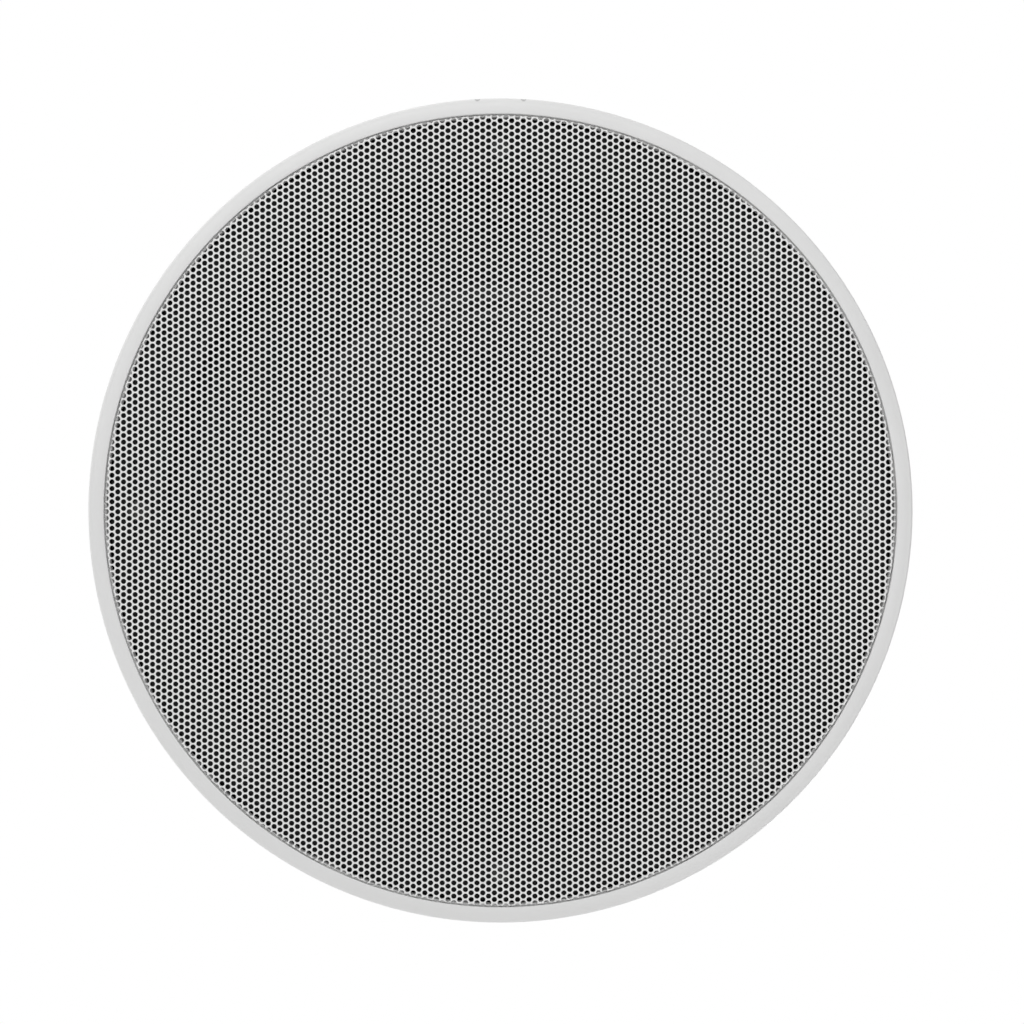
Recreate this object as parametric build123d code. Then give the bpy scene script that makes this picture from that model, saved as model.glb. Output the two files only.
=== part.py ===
from build123d import *
import math
import os

# In-ceiling speaker, in millimetres, as it hangs in use: +Z points up into the
# ceiling void, z = 0 is the plane of the ceiling, and the grille faces down.
# Seen from the room, +X is to the right and +Y is to the foot of the picture.
# Sizes run outwards from the woofer: the driver sets the frame, and the frame
# sets the grille.

# Woofer: the moving parts
ROLL_R = 66.0
ROLL_H = 4.5
ROLL_CHORDS = 5
SURROUND_T = 0.8
SURROUND_LIP_W = 3.8
CONE_LIP_W = 3.0
CONE_T = 0.8
CONE_DEPTH = 21.7
COIL_R = 16.5
FORMER_T = 0.3
FORMER_NECK = 1.5
WIRE_T = 0.6
COIL_L = 12.3
COIL_GAP = 0.7
GLUE_GAP = 0.02
SPIDER_T = 0.5
SPIDER_WAVE = 1.4
SPIDER_WAVES = 2
SPIDER_FLAT = 3.4

# Woofer: the pressed basket and the motor
BASKET_T = 1.2
GASKET_T = 1.0
GASKET_W = 2.9
GASKET_GAP = 0.3
SPIDER_SHELF_R = 45.5
SPIDER_SHELF_W = 10.5
NECK_TO_SHELF = 3.0
CUP_DEPTH = 11.9
CUP_OPENING_R = 22.0
WINDOWS = 6
WINDOW_ANGLE = 40.0
WINDOW_MARGIN = 4.6
TOP_PLATE_R = 45.0
TOP_PLATE_T = 6.0
FERRITE_R = 50.0
FERRITE_IN_R = 28.0
FERRITE_T = 16.0
YOKE_T = 6.0
POLE_LEAD = 0.6
EAR_COUNT = 4
EAR_R = 5.5
EAR_REACH = 1.5
STRIP_W = 16.0
STRIP_T = 2.0
TAG_H = 7.0
TAG_W = 2.8
TAG_T = 0.8

# Coaxial tweeter
MOUTH_R = 35.5
MOUTH_LIP = 0.8
MOUTH_LEAD = 4.0
WAVEGUIDE_DEPTH = 10.6
WAVEGUIDE_T = 1.4
FLARE_CHORDS = 3
DOME_R = 12.6
DOME_H = 4.4
DOME_CHORDS = 3
DOME_T = 0.4
DOME_FLAT = 2.8
DOME_SHY = 0.1
MOTOR_H = 10.0
SLEEVE_T = 1.5
SLEEVE_GAP = 0.2
SLEEVE_H = 5.0
POST_R = 4.1
POST_BORE_R = 2.6
POST_STEM_R = 6.0
POST_FOOT_R = 9.0
POST_FOOT_T = 2.0
POST_SHOULDER_R = 7.5
POST_SHOULDER_H = 5.0
POST_GAP = 0.3
POST_TAIL = 2.0
NUT_H = 4.0
NUT_FLATS = 13.0

# Frame, one black moulding
FLOOR_Z = 5.0
FLOOR_T = 2.5
OPENING_GAP = 0.7
FRAME_WALL = 3.7
RECESS_DRAFT = 1.0
CLAMP_INSET = 13.8
FLANGE_OVERLAP = 20.0
FLANGE_T = 2.5
COLLAR_CHAMFER = 0.6
MAGNET_COUNT = 8
MAGNET_R = 3.0
MAGNET_T = 3.0
MAGNET_INSET = 8.6
MAGNET_PROUD = 0.3
MAGNET_GAP = 0.1
CORE_DEPTH = 2.8
CORE_MARGIN = 2.4
CORE_ANGLE = 16.5
CORE_RIB_ANGLE = 2.5
RIB_T = 1.8
RIB_H = 3.5
RIB_ANGLES = (-75, -60, -45, -30, -15, 0, 45, 165, 180, 195, 210, 225, 240)
LAND_DEPTH = 11.4
LAND_RISE = 7.0
LAND_SLOPE = 2.6
LAND_T = 2.5
BACK_WALL = 2.5

# Screws that hold the woofer
DRIVER_SCREW_R = 1.9
DRIVER_SCREW_BITE = 5.3
DRIVER_HEAD_R = 3.6
DRIVER_HEAD_H = 2.3
DRIVER_BOSS_WALL = 2.3
DRIVER_BOSS_CAP = 1.6
SCREW_GAP = 0.3

# Three dog-leg clamps
CLAMP_ANGLES = (-90, 30, 150)
CLAMP_SCREW_R = 2.0
CLAMP_HEAD_R = 4.0
CLAMP_HEAD_H = 2.8
CLAMP_HEAD_DROP = 1.0
DRIVE_SLOT_W = 1.0
DRIVE_SLOT_L = 5.0
DRIVE_SLOT_D = 1.2
WELL_GAP = 0.8
WELL_WALL = 2.2
HUB_R = 6.0
HUB_H = 14.0
HUB_GAP = 0.4
TOWER_WALL = 2.2
TOWER_GAP = 4.1
TOWER_SPARE = 2.0
ARM_W = 9.0
ARM_STOP_GAP = 0.3
ARM_REACH = 30.0
ARM_DROP = 8.0
ARM_ROOT = 13.0
ARM_BEND = 4.5
ARM_TIP_T = 5.5
CLAMP_TRAVEL = 23.5
CLAMP_FOOT = 9.0
CLAMP_NUT_W = 7.0
CLAMP_NUT_T = 3.2
CLAMP_NUT_GAP = 0.15
RETAINER_R = 4.5
RETAINER_T = 1.0
RETAINER_LIFT = 0.3
SCREW_TAIL = 4.0

# Removable grille: a perforated steel sheet in a white moulded rim
RIM_W = 4.8
RIM_H = 6.6
RIM_LIFT = 0.4
RIM_FLAT = 0.7
RIM_FALL = 0.55
RIM_ROLL = 1.1
RIM_CHORDS = 3
SKIRT_T = 2.2
SKIRT_GAP = 0.4
SHEET_T = 0.8
SHEET_DROP = 0.4
SHEET_GAP = 0.45
LEDGE_W = 1.55
LEDGE_T = 1.2
LEDGE_FLAT = 0.75
LEDGE_TIP = 0.2
LEDGE_GAP = 0.5
OPENING_PITCH = 24.0
OPENING_SIZE = 16.8
OPENING_SIDES = 6
PRY_W = 13.9
PRY_NOTCH_W = 0.9
PRY_NOTCH_D = 0.6
PRY_NOTCH_H = 2.4
PRY_LIFT = 1.4

# Crossover board, its parts and the level switch
BOARD_HALF_W = 33.0
BOARD_T = 1.6
BOARD_LIFT = 5.5
BOARD_GAP = 3.0
BOARD_INSET = 6.0
BOARD_CORNER = 2.0
POST_BOARD_R = 3.2
POST_EDGE = 2.8
BOARD_SCREW_R = 1.3
BOARD_SCREW_BITE = 4.0
BOARD_HEAD_R = 2.5
BOARD_HEAD_H = 1.8
INDUCTOR_X = -17.0
INDUCTOR_R = 8.6
INDUCTOR_H = 13.0
INDUCTOR_CORE_R = 4.0
INDUCTOR_CHEEK = 1.2
WINDING_GAP = 0.05
ELECTROLYTIC_X = -2.6
ELECTROLYTIC_R = 4.6
ELECTROLYTIC_L = 15.0
FILM_X = 6.5
FILM_W = 6.0
FILM_L = 14.0
FILM_H = 11.0
RESISTOR_X = 14.0
RESISTOR_W = 6.4
RESISTOR_L = 15.4
RESISTOR_H = 6.4
TERMINAL_INSET = 10.2
TERMINAL_W = 9.4
TERMINAL_L = 16.4
TERMINAL_H = 13.0
TERMINAL_PITCH = 8.0
BUTTON_W = 4.4
BUTTON_H = 4.0
BUTTON_STEM = 7.0
BUTTON_TRAVEL = 2.5
BUTTON_GAP = 0.3
BUTTON_OFFSET = 1.9
WIRE_HOLE_R = 1.2
WIRE_HOLE_D = 9.0
WIRE_HOLE_OFFSET = 2.7
SWITCH_X = 21.0
SWITCH_W = 11.0
SWITCH_L = 5.6
SWITCH_H = 6.0
SWITCH_TRAVEL = 2.0
SWITCH_GAP = 0.4
LEVER_W = 3.0
LEVER_L = 2.2
LEVER_PROUD = 2.0
LEVER_FOOT_W = 4.6
LEVER_FOOT_T = 1.8

# Insulated leads from the board to the woofer's tags and to the tweeter
LEAD_R = 0.9
LEAD_SPREAD = 2.6
LEAD_PAD_INSET = 3.0
LEAD_BEND = 5.0
LEAD_SLACK = 8.0
LEAD_DROP = 14.0

# Radii, from the woofer outwards
ROLL_OUT_R = ROLL_R + ROLL_H
ROLL_IN_R = ROLL_R - ROLL_H
LIP_R = ROLL_OUT_R + SURROUND_LIP_W
BASKET_R = LIP_R + GASKET_GAP + GASKET_W
OPENING_R = ROLL_OUT_R + OPENING_GAP
EAR_PITCH_R = BASKET_R + EAR_REACH
TOWER_IN_R = HUB_R + HUB_GAP
TOWER_OUT_R = TOWER_IN_R + TOWER_WALL
CLAMP_R = BASKET_R + TOWER_GAP + TOWER_OUT_R
COLLAR_R = CLAMP_R + CLAMP_INSET
RECESS_R = COLLAR_R - FRAME_WALL
RIM_R = COLLAR_R + FLANGE_OVERLAP
RIM_INNER_R = RIM_R - RIM_W
SHEET_R = RIM_INNER_R - SHEET_GAP
LEDGE_R = RIM_INNER_R - LEDGE_W
SKIRT_R = RIM_R - SKIRT_T
FLANGE_R = SKIRT_R - SKIRT_GAP
SEAT_R = LEDGE_R - LEDGE_GAP
MAGNET_PITCH_R = RECESS_R + MAGNET_INSET
WINDING_R = COIL_R + GLUE_GAP + WIRE_T
POLE_R = COIL_R - FORMER_T - COIL_GAP
GAP_R = WINDING_R + COIL_GAP
MOTOR_R = DOME_R + DOME_FLAT + DOME_SHY
BORE_R = POST_R + POST_GAP

# Heights, from the room upwards
CREST_Z = -(RIM_LIFT + RIM_H)
SHEET_FRONT_Z = CREST_Z + SHEET_DROP
SHEET_BACK_Z = SHEET_FRONT_Z + SHEET_T
LEDGE_BACK_Z = SHEET_BACK_Z + LEDGE_T
SEAT_Z = SHEET_BACK_Z + MAGNET_PROUD
FLOOR_BACK_Z = FLOOR_Z + FLOOR_T
LAND_Z = FLOOR_Z - LAND_RISE
LAND_BACK_Z = LAND_Z + LAND_T
DRIVER_Z = FLOOR_BACK_Z + GASKET_T
FLANGE_BACK_Z = DRIVER_Z + BASKET_T
NECK_Z = DRIVER_Z + CONE_T + CONE_DEPTH
SHELF_Z = NECK_Z + NECK_TO_SHELF
CUP_Z = SHELF_Z + CUP_DEPTH
TOP_PLATE_Z = CUP_Z + BASKET_T
FERRITE_Z = TOP_PLATE_Z + TOP_PLATE_T
YOKE_Z = FERRITE_Z + FERRITE_T
BACK_Z = YOKE_Z + YOKE_T
POLE_Z = TOP_PLATE_Z - POLE_LEAD
COIL_Z = TOP_PLATE_Z + TOP_PLATE_T / 2 - COIL_L / 2
MOUTH_Z = FLOOR_Z - MOUTH_LEAD
THROAT_Z = MOUTH_Z + WAVEGUIDE_DEPTH
MOTOR_Z = THROAT_Z + DOME_T
POST_Z = MOTOR_Z + MOTOR_H
HUB_Z = FLOOR_BACK_Z + CLAMP_FOOT + CLAMP_TRAVEL
HUB_TOP_Z = HUB_Z + HUB_H
TOWER_TOP_Z = HUB_TOP_Z + TOWER_SPARE
SCREW_END_Z = TOWER_TOP_Z + SCREW_TAIL
BOARD_Z = FLOOR_BACK_Z + BOARD_LIFT
BOARD_TOP_Z = BOARD_Z + BOARD_T

# Places on the foot side
LAND_Y = RECESS_R - LAND_DEPTH
POCKET_R = COLLAR_R - BACK_WALL
SWITCH_Y = LAND_Y + LAND_T + SWITCH_GAP + SWITCH_L / 2
BOARD_IN_Y = BASKET_R + BOARD_GAP
BOARD_OUT_Y = COLLAR_R - BOARD_INSET
BOARD_Y = (BOARD_IN_Y + BOARD_OUT_Y) / 2
TERMINAL_X = BOARD_HALF_W - TERMINAL_INSET
BOARD_POSTS = [
    (side * (BOARD_HALF_W - POST_EDGE), y)
    for side in (-1, 1)
    for y in (BOARD_IN_Y + POST_EDGE, BOARD_OUT_Y - POST_EDGE)
]

UP = (Align.CENTER, Align.CENTER, Align.MIN)


def rod(radius, z0, z1, x=0.0, y=0.0):
    """A round bar along Z."""
    return Pos(x, y, z0) * Cylinder(radius, z1 - z0, align=UP)


def block(width, length, z0, z1, x=0.0, y=0.0):
    """A box standing on z0, centred on x and y."""
    return Pos(x, y, z0) * Box(width, length, z1 - z0, align=UP)


def lathe(*points):
    """Turns a closed outline of (radius, z) points round the Z axis."""
    return revolve(Plane.XZ * make_face(Polyline(*points, close=True)), Axis.Z)


def bow(centre, across, height, start, end, chords):
    """Points along part of an ellipse round (radius, z), in a few chords to keep facets down."""
    angles = [math.radians(start + (end - start) * i / chords) for i in range(chords + 1)]
    return [
        (centre[0] + across * math.cos(a), centre[1] + height * math.sin(a)) for a in angles
    ]


def ring(inner, outer, z0, z1):
    return lathe((inner, z0), (outer, z0), (outer, z1), (inner, z1))


def around(shape, angle):
    return Rot(0, 0, angle) * shape


def spaced(count, start=0.0):
    return [start + 360.0 * i / count for i in range(count)]


def sector(inner, outer, half_angle, z0, z1, angle=0.0):
    """Part of a ring, half_angle degrees either side of angle."""
    swept = revolve(
        Plane.XZ
        * make_face(Polyline((inner, z0), (outer, z0), (outer, z1), (inner, z1), close=True)),
        Axis.Z,
        2 * half_angle,
    )
    return around(swept, angle - half_angle)


def merge(first, *others):
    """One solid from pieces that touch or overlap."""
    return first.fuse(*others).clean()


# Grille


def grille_sheet():
    """The steel disc, with its fine round perforation as a coarse honeycomb of the same open share."""
    disc = rod(SHEET_R, SHEET_FRONT_Z, SHEET_BACK_Z)
    reach = LEDGE_R - OPENING_SIZE / 2
    row_step = OPENING_PITCH * math.sqrt(3) / 2
    columns = int(reach / row_step) + 1
    rows = int(reach / OPENING_PITCH) + 1
    centres = [
        (column * row_step, (row + 0.5 * (column % 2)) * OPENING_PITCH)
        for column in range(-columns, columns + 1)
        for row in range(-rows - 1, rows + 1)
    ]
    openings = [
        Pos(x, y, SHEET_FRONT_Z)
        * extrude(RegularPolygon(OPENING_SIZE / 2, OPENING_SIDES, major_radius=False), SHEET_T)
        for x, y in centres
        if math.hypot(x, y) < reach
    ]
    return disc.cut(*openings)


def grille_rim():
    """The white rim: a rounded face, a ledge under the sheet and a skirt over the frame's flange."""
    roll_r = RIM_R - RIM_ROLL
    roll_z = CREST_Z + RIM_FALL + RIM_ROLL
    rim = lathe(
        (LEDGE_R, LEDGE_BACK_Z),
        (LEDGE_R, LEDGE_BACK_Z - LEDGE_TIP),
        (RIM_INNER_R - LEDGE_FLAT, SHEET_BACK_Z),
        (RIM_INNER_R, SHEET_BACK_Z),
        (RIM_INNER_R, CREST_Z),
        (RIM_INNER_R + RIM_FLAT, CREST_Z),
        *bow((roll_r, roll_z), RIM_ROLL, RIM_ROLL, 270, 360, RIM_CHORDS),
        (RIM_R, -RIM_LIFT),
        (SKIRT_R, -RIM_LIFT),
        (SKIRT_R, LEDGE_BACK_Z),
    )
    pry_slot = block(PRY_W, 2 * SKIRT_T, -RIM_LIFT - PRY_LIFT, 0, 0, -RIM_R)
    notches = [
        block(
            PRY_NOTCH_W, 2 * PRY_NOTCH_D, CREST_Z, CREST_Z + PRY_NOTCH_H, side * PRY_W / 2, -RIM_R
        )
        for side in (-1, 1)
    ]
    return rim.cut(pry_slot, *notches)


def grille_magnets():
    return [
        around(rod(MAGNET_R, SHEET_BACK_Z, SHEET_BACK_Z + MAGNET_T, MAGNET_PITCH_R), angle)
        for angle in spaced(MAGNET_COUNT, 90)
    ]


# Frame


def frame_dish():
    """The turned body: flange, magnet seat, recess wall, floor and ceiling collar."""
    return lathe(
        (OPENING_R, FLOOR_Z),
        (RECESS_R - RECESS_DRAFT, FLOOR_Z),
        (RECESS_R, SEAT_Z),
        (SEAT_R, SEAT_Z),
        (SEAT_R, -FLANGE_T),
        (FLANGE_R, -FLANGE_T),
        (FLANGE_R, 0),
        (COLLAR_R, 0),
        (COLLAR_R, FLOOR_BACK_Z - COLLAR_CHAMFER),
        (COLLAR_R - COLLAR_CHAMFER, FLOOR_BACK_Z),
        (OPENING_R, FLOOR_BACK_Z),
    )


def land_outline(inset, z_front):
    """Side view of the raised land, as (y, z); inset moves its sloped wall outwards."""
    slope_y = LAND_Y - LAND_SLOPE + inset
    return Polyline(
        (slope_y, FLOOR_BACK_Z),
        (slope_y, FLOOR_Z),
        (slope_y + LAND_SLOPE, z_front),
        (COLLAR_R, z_front),
        (COLLAR_R, FLOOR_BACK_Z),
        close=True,
    )


def land_solid(inset, z_front, radius):
    """The land's outline drawn across the dish and kept inside a radius."""
    bar = extrude(Plane.YZ * make_face(land_outline(inset, z_front)), RECESS_R, both=True)
    return bar & rod(radius, z_front, FLOOR_BACK_Z)


def clamp_tower():
    """A guide round the inner side of a leg's hub, whose two edges stop the swing."""
    guide = rod(TOWER_OUT_R, FLOOR_Z + FLOOR_T / 2, TOWER_TOP_Z, CLAMP_R)
    bore = rod(TOWER_IN_R, FLOOR_BACK_Z, TOWER_TOP_Z, CLAMP_R)
    stop = ARM_W / 2 + ARM_STOP_GAP
    reach = 2 * TOWER_OUT_R
    mouth = block(
        reach, reach, FLOOR_BACK_Z, TOWER_TOP_Z, CLAMP_R - stop + reach / 2, stop - reach / 2
    )
    return guide.cut(bore, mouth)


def clamp_well():
    head_room = CLAMP_HEAD_R + WELL_GAP
    z_front = FLOOR_Z - CLAMP_HEAD_H - CLAMP_HEAD_DROP
    return rod(head_room + WELL_WALL, z_front, FLOOR_BACK_Z, CLAMP_R)


def clamp_well_bore():
    head_room = CLAMP_HEAD_R + WELL_GAP
    z_front = FLOOR_Z - CLAMP_HEAD_H - CLAMP_HEAD_DROP
    counterbore = rod(head_room, z_front, FLOOR_Z, CLAMP_R)
    return merge(counterbore, rod(CLAMP_SCREW_R + SCREW_GAP, FLOOR_Z, FLOOR_BACK_Z, CLAMP_R))


def ear_angles():
    return spaced(EAR_COUNT, 180.0 / EAR_COUNT)


def driver_boss():
    boss_r = DRIVER_SCREW_R + DRIVER_BOSS_WALL
    tip_z = FLANGE_BACK_Z - BASKET_T - DRIVER_SCREW_BITE
    return rod(boss_r, tip_z - DRIVER_BOSS_CAP, DRIVER_Z, EAR_PITCH_R)


def driver_boss_bore():
    return rod(DRIVER_SCREW_R + GLUE_GAP, DRIVER_Z - DRIVER_SCREW_BITE, DRIVER_Z, EAR_PITCH_R)


def board_post(x, y):
    return rod(POST_BOARD_R, LAND_BACK_Z if y > LAND_Y else FLOOR_Z, BOARD_Z, x, y)


def board_post_bore(x, y):
    return rod(BOARD_SCREW_R + GLUE_GAP, BOARD_Z - BOARD_SCREW_BITE, BOARD_Z, x, y)


def back_cores():
    """Pockets that even out the wall behind the magnet seat, two between each pair of magnets."""
    offset = (CORE_ANGLE + CORE_RIB_ANGLE) / 2
    middles = [
        angle + side * offset
        for angle in spaced(MAGNET_COUNT, 90 + 180 / MAGNET_COUNT)
        for side in (-1, 1)
    ]
    return [
        sector(COLLAR_R + CORE_MARGIN, SEAT_R - CORE_MARGIN, CORE_ANGLE / 2, -CORE_DEPTH, 0, middle)
        for middle in middles
    ]


def main_frame():
    ribs = [
        around(
            Pos(EAR_PITCH_R + EAR_R, 0, FLOOR_Z + FLOOR_T / 2)
            * Box(
                COLLAR_R - COLLAR_CHAMFER - EAR_PITCH_R - EAR_R,
                RIB_T,
                FLOOR_T / 2 + RIB_H,
                align=(Align.MIN, Align.CENTER, Align.MIN),
            ),
            angle,
        )
        for angle in RIB_ANGLES
    ]
    body = merge(
        frame_dish(),
        land_solid(0, LAND_Z, RECESS_R),
        *[around(clamp_tower(), angle) for angle in CLAMP_ANGLES],
        *[around(clamp_well(), angle) for angle in CLAMP_ANGLES],
        *[around(driver_boss(), angle) for angle in ear_angles()],
        *ribs,
    )
    body = body.cut(land_solid(LAND_T, LAND_BACK_Z, POCKET_R))
    body = merge(body, *[board_post(x, y) for x, y in BOARD_POSTS])
    magnet_pockets = [
        around(
            rod(MAGNET_R + MAGNET_GAP, SEAT_Z, SHEET_BACK_Z + MAGNET_T, MAGNET_PITCH_R), angle
        )
        for angle in spaced(MAGNET_COUNT, 90)
    ]
    lever_slot = block(
        LEVER_W + 2 * (SWITCH_TRAVEL + SWITCH_GAP),
        LEVER_L + 2 * SWITCH_GAP,
        LAND_Z,
        LAND_BACK_Z,
        SWITCH_X,
        SWITCH_Y,
    )
    return body.cut(
        lever_slot,
        *magnet_pockets,
        *back_cores(),
        *[around(clamp_well_bore(), angle) for angle in CLAMP_ANGLES],
        *[around(driver_boss_bore(), angle) for angle in ear_angles()],
        *[board_post_bore(x, y) for x, y in BOARD_POSTS],
    )


# Woofer


def driver_gasket():
    """A foam ring under the basket's flange, notched round the frame's screw bosses."""
    foam = ring(LIP_R + GASKET_GAP, BASKET_R, FLOOR_BACK_Z, DRIVER_Z)
    notch_r = DRIVER_SCREW_R + DRIVER_BOSS_WALL + GASKET_GAP
    notches = [
        around(rod(notch_r, FLOOR_BACK_Z, DRIVER_Z, EAR_PITCH_R), angle) for angle in ear_angles()
    ]
    return foam.cut(*notches)


def surround():
    """A half roll towards the room, with a lip on the cone and one on the basket."""
    lip_z = DRIVER_Z - SURROUND_T
    dip = math.degrees(math.asin(SURROUND_T / ROLL_H))
    roll = (ROLL_R, DRIVER_Z)
    inside = ROLL_H - SURROUND_T
    return lathe(
        (ROLL_IN_R - CONE_LIP_W, DRIVER_Z),
        (ROLL_IN_R - CONE_LIP_W, lip_z),
        *bow(roll, ROLL_H, ROLL_H, 180 + dip, 360 - dip, ROLL_CHORDS),
        (LIP_R, lip_z),
        (LIP_R, DRIVER_Z),
        *bow(roll, inside, inside, 360, 180, ROLL_CHORDS),
    )


def cone():
    neck_r = COIL_R + GLUE_GAP
    lip_in_r = ROLL_IN_R - CONE_LIP_W
    return lathe(
        (lip_in_r, DRIVER_Z),
        (ROLL_IN_R, DRIVER_Z),
        (ROLL_IN_R, DRIVER_Z + CONE_T),
        (lip_in_r + CONE_T, DRIVER_Z + CONE_T),
        (neck_r + CONE_T, NECK_Z),
        (neck_r, NECK_Z),
    )


def coil_former():
    return ring(COIL_R - FORMER_T, COIL_R, NECK_Z - FORMER_NECK, COIL_Z + COIL_L + FORMER_T)


def voice_coil():
    return ring(COIL_R + GLUE_GAP, WINDING_R, COIL_Z, COIL_Z + COIL_L)


def spider():
    """A corrugated disc between the coil former and the basket's shelf."""
    flat_z = SHELF_Z - SPIDER_T
    inner = COIL_R + GLUE_GAP
    start = inner + SPIDER_FLAT
    end = SPIDER_SHELF_R - SPIDER_SHELF_W
    step = (end - start) / (2 * SPIDER_WAVES)
    crests = [
        (start + i * step, flat_z - (SPIDER_WAVE if i % 2 else 0.0))
        for i in range(2 * SPIDER_WAVES + 1)
    ]
    front = [(inner, flat_z), *crests, (SPIDER_SHELF_R - BASKET_T, flat_z)]
    back = [(r, z + SPIDER_T) for r, z in reversed(front)]
    return lathe(*front, *back)


def driver_basket():
    """A pressed steel basket: a flange with ears, a windowed cone, the spider shelf and the motor cup."""
    flange_in_r = ROLL_OUT_R - SURROUND_T + GASKET_GAP
    shelf_in_r = SPIDER_SHELF_R - SPIDER_SHELF_W
    wall = BASKET_T / math.cos(math.radians(45))
    shell = lathe(
        (BASKET_R, DRIVER_Z),
        (flange_in_r, DRIVER_Z),
        (SPIDER_SHELF_R, SHELF_Z),
        (shelf_in_r, SHELF_Z),
        (shelf_in_r, CUP_Z),
        (CUP_OPENING_R, CUP_Z),
        (CUP_OPENING_R, TOP_PLATE_Z),
        (shelf_in_r + BASKET_T, TOP_PLATE_Z),
        (shelf_in_r + BASKET_T, SHELF_Z + BASKET_T),
        (SPIDER_SHELF_R + wall / 2, SHELF_Z + BASKET_T),
        (flange_in_r + wall, FLANGE_BACK_Z),
        (BASKET_R, FLANGE_BACK_Z),
    )
    ears = [
        around(
            rod(EAR_R, DRIVER_Z, FLANGE_BACK_Z, EAR_PITCH_R)
            - rod(BASKET_R - GASKET_W, DRIVER_Z, FLANGE_BACK_Z),
            angle,
        )
        for angle in ear_angles()
    ]
    holes = [
        around(rod(DRIVER_SCREW_R + SCREW_GAP, DRIVER_Z, FLANGE_BACK_Z, EAR_PITCH_R), angle)
        for angle in ear_angles()
    ]
    windows = [
        sector(
            shelf_in_r + BASKET_T + GLUE_GAP,
            BASKET_R,
            WINDOW_ANGLE / 2,
            FLANGE_BACK_Z + WINDOW_MARGIN,
            SHELF_Z - WINDOW_MARGIN,
            angle,
        )
        for angle in spaced(WINDOWS)
    ]
    return merge(shell, *ears).cut(*holes, *windows)


def driver_screws():
    tip_z = DRIVER_Z - DRIVER_SCREW_BITE
    return [
        around(
            merge(
                rod(DRIVER_SCREW_R, tip_z, FLANGE_BACK_Z, EAR_PITCH_R),
                rod(DRIVER_HEAD_R, FLANGE_BACK_Z, FLANGE_BACK_Z + DRIVER_HEAD_H, EAR_PITCH_R),
            ),
            angle,
        )
        for angle in ear_angles()
    ]


def top_plate():
    return ring(GAP_R, TOP_PLATE_R, TOP_PLATE_Z, FERRITE_Z)


def ferrite_magnet():
    return ring(FERRITE_IN_R, FERRITE_R, FERRITE_Z, YOKE_Z)


def pole_yoke():
    return lathe(
        (BORE_R, POLE_Z),
        (POLE_R, POLE_Z),
        (POLE_R, YOKE_Z),
        (TOP_PLATE_R, YOKE_Z),
        (TOP_PLATE_R, BACK_Z),
        (BORE_R, BACK_Z),
    )


def strip_place():
    """Where the tag strip lies on the back of the basket's shelf: y, and its foot."""
    return SPIDER_SHELF_R - SPIDER_SHELF_W / 2 + BASKET_T, SHELF_Z + BASKET_T


def terminal_strip():
    y, foot = strip_place()
    return block(STRIP_W, SPIDER_SHELF_W - 2 * BASKET_T, foot, foot + STRIP_T, 0, y)


def terminal_tags():
    y, foot = strip_place()
    return [
        block(TAG_W, TAG_T, foot + STRIP_T, foot + STRIP_T + TAG_H, side * STRIP_W / 4, y)
        for side in (-1, 1)
    ]


# Tweeter


def tweeter_waveguide():
    """A shallow horn round the dome, with a sleeve that grips the tweeter's motor."""
    throat_r = DOME_R + DOME_FLAT / 2
    sleeve_in_r = MOTOR_R + SLEEVE_GAP
    sleeve_r = sleeve_in_r + SLEEVE_T
    flare_r = MOUTH_R - MOUTH_LIP
    flare = bow((flare_r, THROAT_Z), flare_r - throat_r, WAVEGUIDE_DEPTH, 180, 270, FLARE_CHORDS)
    return lathe(
        *flare,
        (MOUTH_R, MOUTH_Z),
        (MOUTH_R, MOUTH_Z + WAVEGUIDE_T),
        (sleeve_r, THROAT_Z),
        (sleeve_r, MOTOR_Z + SLEEVE_H),
        (sleeve_in_r, MOTOR_Z + SLEEVE_H),
        (sleeve_in_r, THROAT_Z),
    )


def tweeter_dome():
    """A soft dome with a flat edge clamped between the motor and the waveguide."""
    radius = (DOME_R**2 + DOME_H**2) / (2 * DOME_H)
    centre = (0, MOTOR_Z - DOME_H + radius)
    inside = radius - DOME_T
    edge = math.degrees(math.asin((radius - DOME_H + DOME_T) / radius))
    inner_edge = math.degrees(math.asin((radius - DOME_H) / inside))
    return lathe(
        *bow(centre, radius, radius, -90, -edge, DOME_CHORDS),
        (DOME_R + DOME_FLAT, MOTOR_Z - DOME_T),
        (DOME_R + DOME_FLAT, MOTOR_Z),
        *bow(centre, inside, inside, -inner_edge, -90, DOME_CHORDS),
    )


def tweeter_motor():
    return rod(MOTOR_R, MOTOR_Z, POST_Z)


def tweeter_post():
    """The stem that carries the tweeter through the woofer's pole."""
    foot_z = POST_Z + POST_FOOT_T
    shoulder_z = POLE_Z - POST_SHOULDER_H
    return lathe(
        (POST_BORE_R, POST_Z),
        (POST_FOOT_R, POST_Z),
        (POST_FOOT_R, foot_z),
        (POST_STEM_R, foot_z),
        (POST_STEM_R, shoulder_z),
        (POST_SHOULDER_R, shoulder_z),
        (POST_SHOULDER_R, POLE_Z),
        (POST_R, POLE_Z),
        (POST_R, BACK_Z + NUT_H + POST_TAIL),
        (POST_BORE_R, BACK_Z + NUT_H + POST_TAIL),
    )


def post_nut():
    flats = extrude(RegularPolygon(NUT_FLATS / 2, 6, major_radius=False), NUT_H)
    return Pos(0, 0, BACK_Z) * flats - rod(POST_R + GLUE_GAP, BACK_Z, BACK_Z + NUT_H)


# Leads


def lead(*points):
    """An insulated wire through these points, with round bends."""
    path = FilletPolyline(*points, radius=LEAD_BEND)
    return sweep(Plane(points[0], z_dir=path % 0) * Circle(LEAD_R), path=path)


def lead_pad(end, side):
    """Where a lead meets the board, and a place straight above."""
    x = end * (BOARD_HALF_W - LEAD_PAD_INSET) + side * LEAD_SPREAD / 2
    return Vector(x, BOARD_Y, BOARD_TOP_Z + LEAD_DROP), Vector(x, BOARD_Y, BOARD_TOP_Z)


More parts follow.
